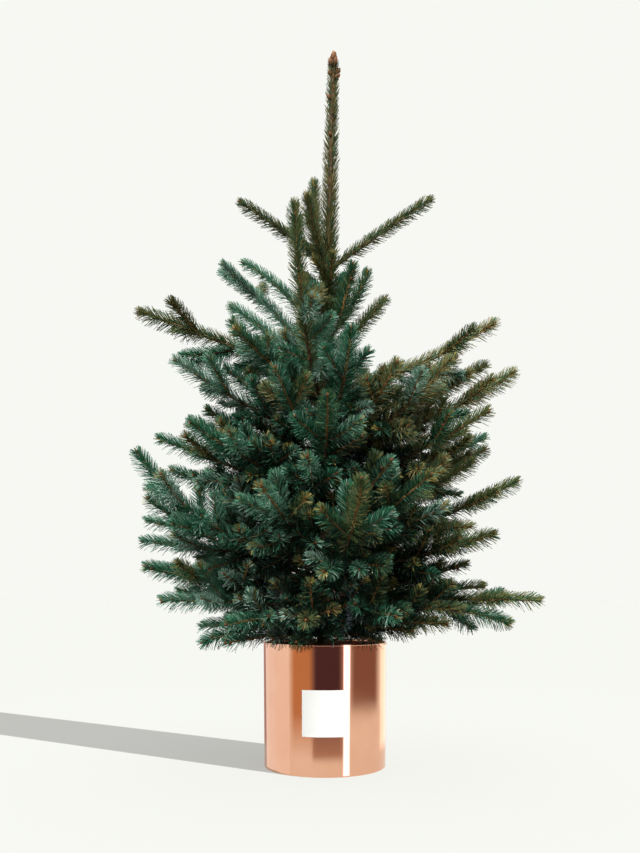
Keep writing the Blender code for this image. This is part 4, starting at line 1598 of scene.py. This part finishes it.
@dataclass
class Buds:
    """Egg-shaped buds at the shoots' tips, and the large one on the leader."""

    length: float = 0.0052
    radius: float = 0.0019
    sides: int = 5
    sizes: Floats = (1.30, 1.0, 0.85)  # by the shoot's rank
    size_play: Pair = (0.85, 1.15)
    uneven: Pair = (0.88, 1.12)
    budded: float = 0.40  # the share of shoots with more than the one bud at the tip
    more: tuple[int, int] = (3, 6)
    more_sizes: Pair = (0.8, 1.1)
    more_opening: float = 1.1
    more_seat: float = 0.7  # as a share of the tip's radius
    farthest: int = 5  # points back from the tip
    profile: Pairs = ((0.0, 0.62), (0.35, 1.0), (0.72, 0.78), (1.0, 0.22))
    seats: tuple[Seat, ...] = (
        Seat(0.0095, 0.0, 0.0, 3.5), Seat(0.001, 215.0, 0.5, 2.6), Seat(0.001, 300.0, 0.4, 2.6),
        Seat(0.001, 100.0, 0.5, 2.6), Seat(-0.010, 5.0, 0.9, 2.5), Seat(-0.019, -12.0, 1.1, 2.2),
        Seat(-0.012, 175.0, 0.6, 1.9), Seat(-0.052, 190.0, 1.0, 2.0),
        Seat(-0.153, 10.0, 1.0, 1.6), Seat(-0.114, 250.0, 0.8, 1.5),
        Seat(-0.011, 95.0, 0.7, 1.9))

    def bud(self, foot: Array, direction: Array, size: float, rng: Generator) -> Shape:
        """Vertices and faces of one bud.

        Args:
            foot: where it stands.
            direction: where it points.
            size: its size beside the usual bud.
            rng: the random source.

        Returns:
            Vertex places and faces with four corners.
        """
        first = unit(np.cross(direction, UP + 0.01))
        second = np.cross(direction, first)
        phase = rng.uniform(0.0, math.tau)
        corners = np.linspace(0.0, math.tau, self.sides, endpoint=False)
        rings = []
        for level, (share, width) in enumerate(self.profile):
            out = around(first, second, corners + phase + level * math.pi / self.sides)
            scale = rng.uniform(*self.uneven, (self.sides, 1))
            rings.append(foot + direction * self.length * size * share
                         + out * self.radius * size * width * scale)
        last = (len(rings) - 1) * self.sides
        fan = range(1, self.sides - 1)
        cap = [[0, k + 1, k, k] for k in fan]
        head = [[last, last + k, last + k + 1, last + k + 1] for k in fan]
        return np.vstack(rings), np.vstack([walls_of(len(rings), self.sides), cap, head])

    def build(self, crown: Crown, material: Material) -> None:
        """Sets a bud at each tip, and more along the last growth of some shoots.

        Args:
            crown: the grown crown.
            material: the bud scales.
        """
        rng = np.random.default_rng(crown.seed + 5)
        parts = []
        for shoot in crown.shoots:
            tangents, first, second = frames_of(shoot.line)
            size = self.sizes[shoot.rank] * rng.uniform(*self.size_play)
            parts.append(self.bud(shoot.line[-1], tangents[-1], size, rng))
            if shoot.rank == 2 or rng.uniform() > self.budded:
                continue
            for _ in range(rng.integers(*self.more)):
                at = -1 - rng.integers(0, self.farthest)
                turn = rng.uniform(0.0, math.tau)
                out = first[at] * math.cos(turn) + second[at] * math.sin(turn)
                foot = shoot.line[at] + out * shoot.tip_radius * self.more_seat
                parts.append(self.bud(foot, unit(tangents[at] + out * self.more_opening),
                                      size * rng.uniform(*self.more_sizes), rng))
        parts += self.on_leader(crown.trunk, rng)
        place("buds", joined("buds", parts), material, "spruce_bark")

    def on_leader(self, trunk: Trunk, rng: Generator) -> list[Shape]:
        """Makes the leader's large bud and the small ones below it.

        Args:
            trunk: the trunk.
            rng: the random source.

        Returns:
            Vertex places and faces of each.
        """
        parts = []
        for seat in self.seats:
            out = outwards(seat.bearing)
            level = np.array([trunk.leader_end + seat.rise])
            foot = trunk.axis(level)[0]
            if seat.opening:
                foot = foot + out * trunk.radius(level)[0]
            parts.append(self.bud(foot, unit(UP + out * seat.opening), seat.size, rng))
        return parts


# Planter

@dataclass(frozen=True)
class Planter:
    """The copper cylinder with its hem and lap seam, the card label and the compost."""

    height: float = 0.200
    base_radius: float = 0.0982
    top_radius: float = 0.0996
    wall: float = 0.0015
    floor: float = 0.0020
    hem_height: float = 0.0022
    hem_proud: float = 0.0006
    hem_cover: float = 1.55  # where the plain wall ends under it, in its own heights
    foot_round: float = 0.0008
    steps: int = 180
    inner_step: float = 0.0002
    inner_break: float = 0.150
    seam_turn: float = math.radians(-143.5)
    seam_step: float = 0.00030
    seam_run: float = 0.35  # radians over which the lapped sheet sinks back
    seam_width: float = 0.004
    seam_low: float = 0.002
    seam_high: float = 1.5  # where it ends under the rim, in hem heights
    skin: float = 0.0007  # what lies no deeper is the outer face
    gap: float = 0.0003
    soil_middle: float = 0.183
    soil_edge: float = 0.177
    soil_flat: float = 0.022
    soil_round: float = 0.095
    soil_slack: float = 0.0006  # more room to the wall at the compost's top
    soil_steps: int = 150
    soil_rings: int = 44
    clod_scale: float = 190.0
    clod_height: float = 0.0022
    clod_sunk: float = 0.0010
    crumbs: int = 900
    crumb_sizes: Pair = (0.0009, 0.0032)
    crumb_widths: Pair = (0.5, 1.0)
    crumb_heights: Pair = (0.25, 0.6)
    crumb_uneven: Pair = (0.75, 1.2)
    crumb_tilts: Pair = (-0.4, 0.4)
    crumb_rises: Pair = (-0.0002, 0.0006)
    label_width: float = 0.0666
    label_bottom: float = 0.0612
    label_top: float = 0.1317
    label_thickness: float = 0.0005
    label_turn: float = math.radians(-1.5)
    label_columns: int = 48
    label_rows: int = 12

    def radius(self, height: float) -> float:
        """The outer radius at a height."""
        return self.base_radius + (self.top_radius - self.base_radius) * height / self.height

    def profile(self) -> list[Pair]:
        """The shell's outline, from the middle of its underside round to its inner floor.

        Returns:
            Pairs of radius and height.
        """
        roll = self.hem_height / 2
        foot_middle = (self.base_radius - self.foot_round, self.foot_round)
        hem_middle = (self.top_radius + self.hem_proud - roll, self.height - roll)
        under_hem = self.height - self.hem_cover * self.hem_height
        heights = [self.foot_round + 0.0003, 0.004,
                   *np.linspace(0.012, under_hem - 0.008, 12), under_hem - 0.0008, under_hem]
        inner = self.top_radius - self.wall
        points = [(0.0, 0.0), (self.base_radius * 0.5, 0.0)]
        points += arc(foot_middle, self.foot_round, -90, 0, 5)
        points += [(self.radius(height), height) for height in heights]
        points += arc(hem_middle, roll, -70, 180, 14)
        points += [(inner - self.inner_step, self.height - share * self.hem_height)
                   for share in (1.6, 1.9)]
        points += [(inner - 2 * self.inner_step, self.inner_break),
                   (self.radius(self.floor) - self.wall, self.floor), (0.0, self.floor)]
        return points

    def lap(self, bm: BMesh) -> None:
        """Laps the sheet at its seam: one edge stands out and sinks back round the wall.

        Args:
            bm: the spun shell.
        """
        column = math.tau / self.steps
        top = self.height - self.seam_high * self.hem_height
        for vert in bm.verts:
            flat = math.hypot(vert.co.x, vert.co.y)
            if flat < self.radius(vert.co.z) - self.skin or not self.seam_low <= vert.co.z <= top:
                continue
            past = (math.atan2(vert.co.y, vert.co.x) - self.seam_turn) % math.tau
            if past < column * 0.999:  # one column of points, drawn up to the seam
                vert.co.rotate(Matrix.Rotation(-(past - self.seam_width), 3, "Z"))
                past = 0.0
            if past < self.seam_run:
                lift = self.seam_step * (1.0 - past / self.seam_run)
                vert.co.x *= (flat + lift) / flat
                vert.co.y *= (flat + lift) / flat

    def build_shell(self, material: Material) -> Object:
        """Spins the shell and laps its sheet at the seam.

        Args:
            material: the copper.

        Returns:
            The shell.
        """
        bm = spun(self.profile(), self.steps)
        self.lap(bm)
        mesh = finished(bm, "planter_shell")
        mesh.set_sharp_from_angle(angle=SHARP)
        return place("planter_shell", mesh, material, "polished_copper", ["planter"])

    def build_label(self, material: Material) -> Object:
        """Bends a thin card round the front.

        Args:
            material: the card.

        Returns:
            The label.
        """
        bm = bmesh.new()
        bmesh.ops.create_grid(bm, x_segments=self.label_columns, y_segments=self.label_rows,
                              size=0.5)
        for vert in bm.verts:
            height = self.label_bottom + (self.label_top - self.label_bottom) * (vert.co.y + 0.5)
            radius = self.radius(height) + self.gap
            turn = self.label_turn + vert.co.x * self.label_width / radius
            vert.co = Vector((math.sin(turn) * radius, -math.cos(turn) * radius, height))
        bmesh.ops.recalc_face_normals(bm, faces=bm.faces)
        bm.faces.ensure_lookup_table()
        middle = bm.faces[len(bm.faces) // 2]
        if middle.normal.dot(middle.calc_center_median()) < 0:
            bmesh.ops.reverse_faces(bm, faces=bm.faces)
        bmesh.ops.solidify(bm, geom=bm.faces[:], thickness=-self.label_thickness)
        mesh = finished(bm, "label_card")
        mesh.set_sharp_from_angle(angle=SHARP)
        return place("label_card", mesh, material, "white_card", ["label"])

    def build_soil(self, compost: Material, crumb: Material) -> None:
        """Spins the compost, roughens its top and strews crumbs on it.

        Args:
            compost: the fine compost.
            crumb: the bark crumbs.
        """
        foot = self.radius(self.floor) - self.wall - self.gap
        top = self.radius(self.soil_edge) - self.wall - self.gap - self.soil_slack
        profile = [(0.0, self.floor + self.gap), (foot, self.floor + self.gap),
                   (top, self.soil_edge - 0.006), (top, self.soil_edge)]
        for share in np.linspace(0.97, 0.04, self.soil_rings):
            profile.append((top * share, self.soil_height(top * share)))
        profile.append((0.0, self.soil_middle))
        bm = spun(profile, self.soil_steps)
        for vert in bm.verts:
            radius = math.hypot(vert.co.x, vert.co.y)
            if vert.co.z > self.soil_edge - 0.001 and self.soil_flat < radius < top - 0.001:
                clods = noise.turbulence(vert.co * self.clod_scale, 3, False)
                vert.co.z += self.clod_height * clods - self.clod_sunk
        place("compost_fill", finished(bm, "compost_fill"), compost, "compost", ["potting_soil"])
        self.strew(crumb, top)

    def soil_height(self, radius: float) -> float:
        """The compost's level at a distance from the middle.

        Args:
            radius: the distance.

        Returns:
            Its height over the floor.
        """
        share = (radius - self.soil_flat) / (self.soil_round - self.soil_flat)
        share = min(1.0, max(0.0, share))
        return self.soil_middle + (self.soil_edge - self.soil_middle) * share

    def strew(self, material: Material, edge: float) -> None:
        """Strews bark crumbs and clods as one joined mesh.

        Args:
            material: the crumbs' finish.
            edge: the compost's radius.
        """
        rng = np.random.default_rng(77)
        seed = bmesh.new()
        bmesh.ops.create_icosphere(seed, subdivisions=1, radius=1.0)
        ball = np.array([tuple(vert.co) for vert in seed.verts])
        corners = np.array([[vert.index for vert in face.verts] for face in seed.faces])
        seed.free()
        places = []
        faces = []
        for number in range(self.crumbs):
            radius = math.sqrt(rng.uniform(0.0009, (edge - 0.005) ** 2))
            turn = rng.uniform(0.0, math.tau)
            size = rng.uniform(*self.crumb_sizes) * np.array(
                [1.0, rng.uniform(*self.crumb_widths), rng.uniform(*self.crumb_heights)])
            shape = ball * rng.uniform(*self.crumb_uneven, (len(ball), 1)) * size
            spin = np.array(Matrix.Rotation(rng.uniform(0.0, math.tau), 3, "Z")
                            @ Matrix.Rotation(rng.uniform(*self.crumb_tilts), 3, "X"))
            middle = np.array([radius * math.cos(turn), radius * math.sin(turn),
                               self.soil_height(radius) + rng.uniform(*self.crumb_rises)])
            places.append(shape @ spin.T + middle)
            faces.append(corners + number * len(ball))
        mesh = from_arrays("compost_crumbs", np.vstack(places), np.vstack(faces).tolist())
        place("compost_crumbs", mesh, material, "compost")


# Studio

@dataclass(frozen=True)
class GlowCard:
    """A low card that only the polished copper sees, standing on the floor round the planter; its
    glow paints a band of reflection into the copper.
    """

    start: float  # degrees round the planter, 0 to the front and 90 to the right
    end: float
    distance: float
    colour: str
    strength: float
    feather: float  # degrees over which its upright edges fade
    foot: float  # height over which its foot fades


class Lit(Enum):
    """What a light falls on: only the things that it names, or all but them."""

    ONLY = "INCLUDE"
    ALL_BUT = "EXCLUDE"


@dataclass(frozen=True)
class Sun:
    """An even light from one direction."""

    name: str
    towards: tuple[float, float, float]  # the direction that it comes from
    strength: float
    width: float = 30.0  # how many degrees across its source looks
    colour: str = "#FFFFFF"

    def hang(self, lit: Lit, things: list[Object]) -> None:
        """Adds the light to the scene.

        Args:
            lit: whether it falls on the things alone or on all but them.
            things: the things.
        """
        light = bpy.data.lights.new(self.name, "SUN")
        light.energy = self.strength
        light.angle = math.radians(self.width)
        light.color = linear(self.colour)[:3]
        lamp = add_object(self.name, light)
        lamp.rotation_euler = Vector(self.towards).to_track_quat("Z", "Y").to_euler()
        group = bpy.data.collections.new(f"{self.name}_things")
        for number, thing in enumerate(things):
            group.objects.link(thing)
            group.collection_objects[number].light_linking.link_state = lit.value
        lamp.light_linking.receiver_collection = group


@dataclass
class Studio:
    """Pale floor and sky, low side light, and the camera of the photograph."""

    paper: str = "#F7F8F3"
    floor_radius: float = 80.0
    floor_albedo: float = 0.15
    floor_glow: float = 0.438
    floor_glow_far: float = 0.417  # where the tree no longer keeps the sky off the floor
    floor_near: float = 0.45
    floor_far: float = 1.6
    overhead: float = 1.25  # the sky above the picture's frame, beside the sky in it
    below: float = 0.22  # what comes up from under the horizon to the tree
    side_bearing: float = -32.0  # of the lights from the right
    shadow_height: float = 9.5
    shadow_strength: float = 54.0
    shadow_width: float = 0.5
    side_height: float = 18.0
    side_colour: str = "#FFFAEE"
    side_strength: float = 1.9
    key: Sun = Sun("soft_key_light", (-0.42, -0.52, 0.76), 7.9)
    top: Sun = Sun("soft_top_light", (0.10, 0.32, 0.95), 3.6)
    on_label: Sun = Sun("label_light", (0.62, -0.74, 0.26), 3.0)
    card_height: float = 0.30
    card_lift: float = 0.0005
    card_step: float = 4.0  # degrees round the planter
    planter_radius: float = 0.10
    focal_pixels: float = 800.0
    picture_height: float = 853.0
    horizon_row: float = 598.3
    eye: tuple[float, float, float] = (-0.008, -VIEW_DISTANCE, VIEW_HEIGHT)
    sensor: float = 36.0
    # Painted reflections: the pale cards paint the copper's bright bands and its glint, the dark
    # ones its darker bands.
    cards: tuple[GlowCard, ...] = (
        GlowCard(-140.0, -108.0, 0.10, "#B99D95", 0.94, 5.0, 0.020),
        GlowCard(-79.0, -34.5, 0.004, "#EBEDEF", 1.20, 2.0, 0.0005),
        GlowCard(-55.0, 0.0, 0.12, "#C9986C", 0.99, 9.0, 0.075),
        GlowCard(-18.5, 27.0, 0.10, "#9A8377", 1.59, 3.0, 0.012),
        GlowCard(-21.3, 27.0, 0.08, "#462F38", 1.12, 9.0, 0.120),
        GlowCard(16.3, 23.9, 0.004, "#E4E2FF", 3.4, 1.4, 0.0005),
        GlowCard(35.0, 114.0, 0.52, "#866456", 1.04, 15.0, 0.040),
        GlowCard(96.0, 132.0, 0.10, "#FFFAF3", 1.59, 5.0, 0.020),
    )

    def build(self) -> Object:
        """Makes floor, sky, cards and camera.

        Returns:
            The floor.
        """
        floor = self.add_floor()
        self.add_sky()
        for number, card in enumerate(self.cards):
            self.add_card(card, f"glow_card_{number + 1}")
        self.add_camera()
        return floor

    def from_side(self, height: float) -> tuple[float, float, float]:
        """The direction of a light from the right.

        Args:
            height: how high it stands, in degrees.

        Returns:
            The direction that it comes from.
        """
        bearing = math.radians(self.side_bearing)
        rise = math.radians(height)
        return (math.cos(bearing) * math.cos(rise), math.sin(bearing) * math.cos(rise),
                math.sin(rise))

    def light(self, floor: Object, shell: Object, label: Object) -> None:
        """Sets the lights. The low one draws the shadow on the floor alone.

        Args:
            floor: the floor.
            shell: the polished planter, which shows the cards and not the soft lights.
            label: the white label, which has a weaker light of its own.
        """
        Sun("low_side_light", self.from_side(self.shadow_height), self.shadow_strength,
            self.shadow_width).hang(Lit.ONLY, [floor])
        side = Sun("soft_side_light", self.from_side(self.side_height), self.side_strength,
                   colour=self.side_colour)
        for sun in (self.key, side, self.top):
            sun.hang(Lit.ALL_BUT, [floor, shell, label])
        self.on_label.hang(Lit.ONLY, [label])

    def add_floor(self) -> Object:
        """Makes a wide disc of even pale paper that sends no light up into the tree.

        Returns:
            The floor.
        """
        bm = bmesh.new()
        bmesh.ops.create_circle(bm, cap_ends=True, segments=96, radius=self.floor_radius)
        mesh = bpy.data.meshes.new("studio_floor")
        bm.to_mesh(mesh)
        bm.free()
        floor = add_object("studio_floor", mesh)
        shades = [share * self.floor_albedo for share in linear(self.paper)[:3]]
        material, tree, shader = add_material("studio_paper", {
            "Base Color": (*shades, 1.0), "Roughness": 1.0, "Specular IOR Level": 0.0,
            "Emission Color": linear(self.paper)})
        spot = add_node(tree, "TexCoord").outputs["Object"]
        away = add_node(tree, "VectorMath", {"operation": "LENGTH"}, {0: spot}).outputs["Value"]
        glow = add_node(tree, "MapRange", {"From Min": self.floor_near, "From Max": self.floor_far,
                         "To Min": self.floor_glow, "To Max": self.floor_glow_far},
                        {"Value": away}).outputs["Result"]
        tree.links.new(glow, shader.inputs["Emission Strength"])
        mesh.materials.append(material)
        floor.visible_diffuse = False
        return floor

    def add_sky(self) -> None:
        """An even pale surround, brighter above the frame and dark under the horizon."""
        world = bpy.data.worlds.new("studio_sky")
        world.use_nodes = True
        tree = world.node_tree
        way = add_node(tree, "TexCoord").outputs["Generated"]
        height = add_node(tree, "SeparateXYZ", links={0: way}).outputs["Z"]
        above = add_node(tree, "MapRange", {"From Min": 0.66, "From Max": 0.85, "To Min": 1.0,
                          "To Max": self.overhead}, {"Value": height}).outputs["Result"]
        ground = add_node(tree, "MapRange",
                          {"From Min": -0.05, "From Max": -0.02, "To Min": self.below,
                           "To Max": 1.0}, {"Value": height}).outputs["Result"]
        strength = add_node(tree, "Math", {"operation": "MULTIPLY"},
                            {0: above, 1: ground}).outputs[0]
        background = tree.nodes["Background"]
        background.inputs["Color"].default_value = linear(self.paper)
        tree.links.new(strength, background.inputs["Strength"])
        bpy.context.scene.world = world

    def add_card(self, card: GlowCard, name: str) -> None:
        """A curved strip of even glow that casts and throws nothing but its reflection.

        Args:
            card: its place and glow.
            name: its name.
        """
        bm = bmesh.new()
        steps = max(2, round((card.end - card.start) / self.card_step))
        turns = [math.radians(card.start + (card.end - card.start) * i / steps)
                 for i in range(steps + 1)]
        reach = self.planter_radius + card.distance
        low = [bm.verts.new((math.sin(t) * reach, -math.cos(t) * reach, self.card_lift))
               for t in turns]
        edges = [bm.edges.new(pair) for pair in zip(low, low[1:])]
        grown = bmesh.ops.extrude_edge_only(bm, edges=edges)["geom"]
        bmesh.ops.translate(bm, vec=(0, 0, self.card_height),
                            verts=[item for item in grown if isinstance(item, BMVert)])
        mesh = bpy.data.meshes.new(name)
        bm.to_mesh(mesh)
        bm.free()
        mesh.materials.append(self.glow(card, name))
        strip = add_object(name, mesh)
        strip.visible_camera = False
        strip.visible_diffuse = False
        strip.visible_shadow = False
        strip.visible_transmission = False

    @staticmethod
    def glow(card: GlowCard, name: str) -> Material:
        """The glow of a card, which fades to nothing at its upright edges and its foot.

        Args:
            card: its place and glow.
            name: the material's name.

        Returns:
            The material.
        """
        material, tree, shader = add_material(name, {
            "Base Color": (0.0, 0.0, 0.0, 1.0), "Specular IOR Level": 0.0,
            "Emission Color": linear(card.colour), "Emission Strength": card.strength})
        middle = math.radians((card.start + card.end) / 2)
        half = math.radians((card.end - card.start) / 2)
        spot = add_node(tree, "TexCoord").outputs["Object"]
        axes = add_node(tree, "SeparateXYZ", links={0: spot}).outputs
        front = add_node(tree, "Math", {"operation": "MULTIPLY", 1: -1.0},
                         {0: axes["Y"]}).outputs[0]
        bearing = add_node(tree, "Math", {"operation": "ARCTAN2"},
                           {0: axes["X"], 1: front}).outputs[0]
        off = add_node(tree, "Math", {"operation": "SUBTRACT", 1: middle}, {0: bearing}).outputs[0]
        aside = add_node(tree, "Math", {"operation": "ABSOLUTE"}, {0: off}).outputs[0]
        edge = add_node(tree, "MapRange",
                        {"From Min": half - math.radians(card.feather), "From Max": half,
                         "To Min": 1.0, "To Max": 0.0}, {"Value": aside}).outputs["Result"]
        foot = add_node(tree, "MapRange", {"From Min": 0.0, "From Max": card.foot},
                        {"Value": axes["Z"]}).outputs["Result"]
        share = add_node(tree, "Math", {"operation": "MULTIPLY"}, {0: edge, 1: foot}).outputs[0]
        tree.links.new(share, shader.inputs["Alpha"])
        return material

    def add_camera(self) -> None:
        """A level camera whose shift puts the horizon on the photograph's row."""
        lens = bpy.data.cameras.new("photo_camera")
        lens.sensor_fit = "VERTICAL"
        lens.sensor_height = self.sensor
        lens.lens = self.focal_pixels / self.picture_height * self.sensor
        lens.shift_y = (self.horizon_row - self.picture_height / 2) / self.picture_height
        camera = add_object("photo_camera", lens)
        camera.location = self.eye
        camera.rotation_euler = (math.pi / 2, 0.0, 0.0)
        bpy.context.scene.camera = camera


def main() -> None:
    """Builds the studio, the planter and the tree."""
    logging.basicConfig(level=logging.INFO, format="%(message)s")
    studio = Studio()
    floor = studio.build()
    bpy.context.scene.view_settings.view_transform = "Standard"
    planter = Planter()
    shell = planter.build_shell(COPPER.dress())
    label = planter.build_label(CARD.dress())
    studio.light(floor, shell, label)
    planter.build_soil(COMPOST.dress(), CRUMB.dress())
    trunk = Trunk()
    old_bark = OLD_BARK.dress()
    trunk.build(old_bark)
    crown = Crown(trunk)
    crown.grow()
    names = sorted(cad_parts)
    boughs = [name for name in names if name.startswith("bough_")]
    masses = [name for name in names if name.startswith("foliage_") or name == "leader_needles"]
    Wood().build(crown, old_bark, YOUNG_BARK.dress(), boughs)
    Buds().build(crown, BUD_SCALE.dress())
    needles = Needles()
    rng = np.random.default_rng(crown.seed)
    for shoot in crown.shoots:
        needles.cover(shoot, rng)
    needles.cover_trunk(trunk, rng)
    waxes = {tint: NeedleWax(f"waxy_needle_{tint.name.lower()}", tint.value).dress()
             for tint in Tint}
    needles.build(waxes, masses)


if __name__ == "__main__":
    main()
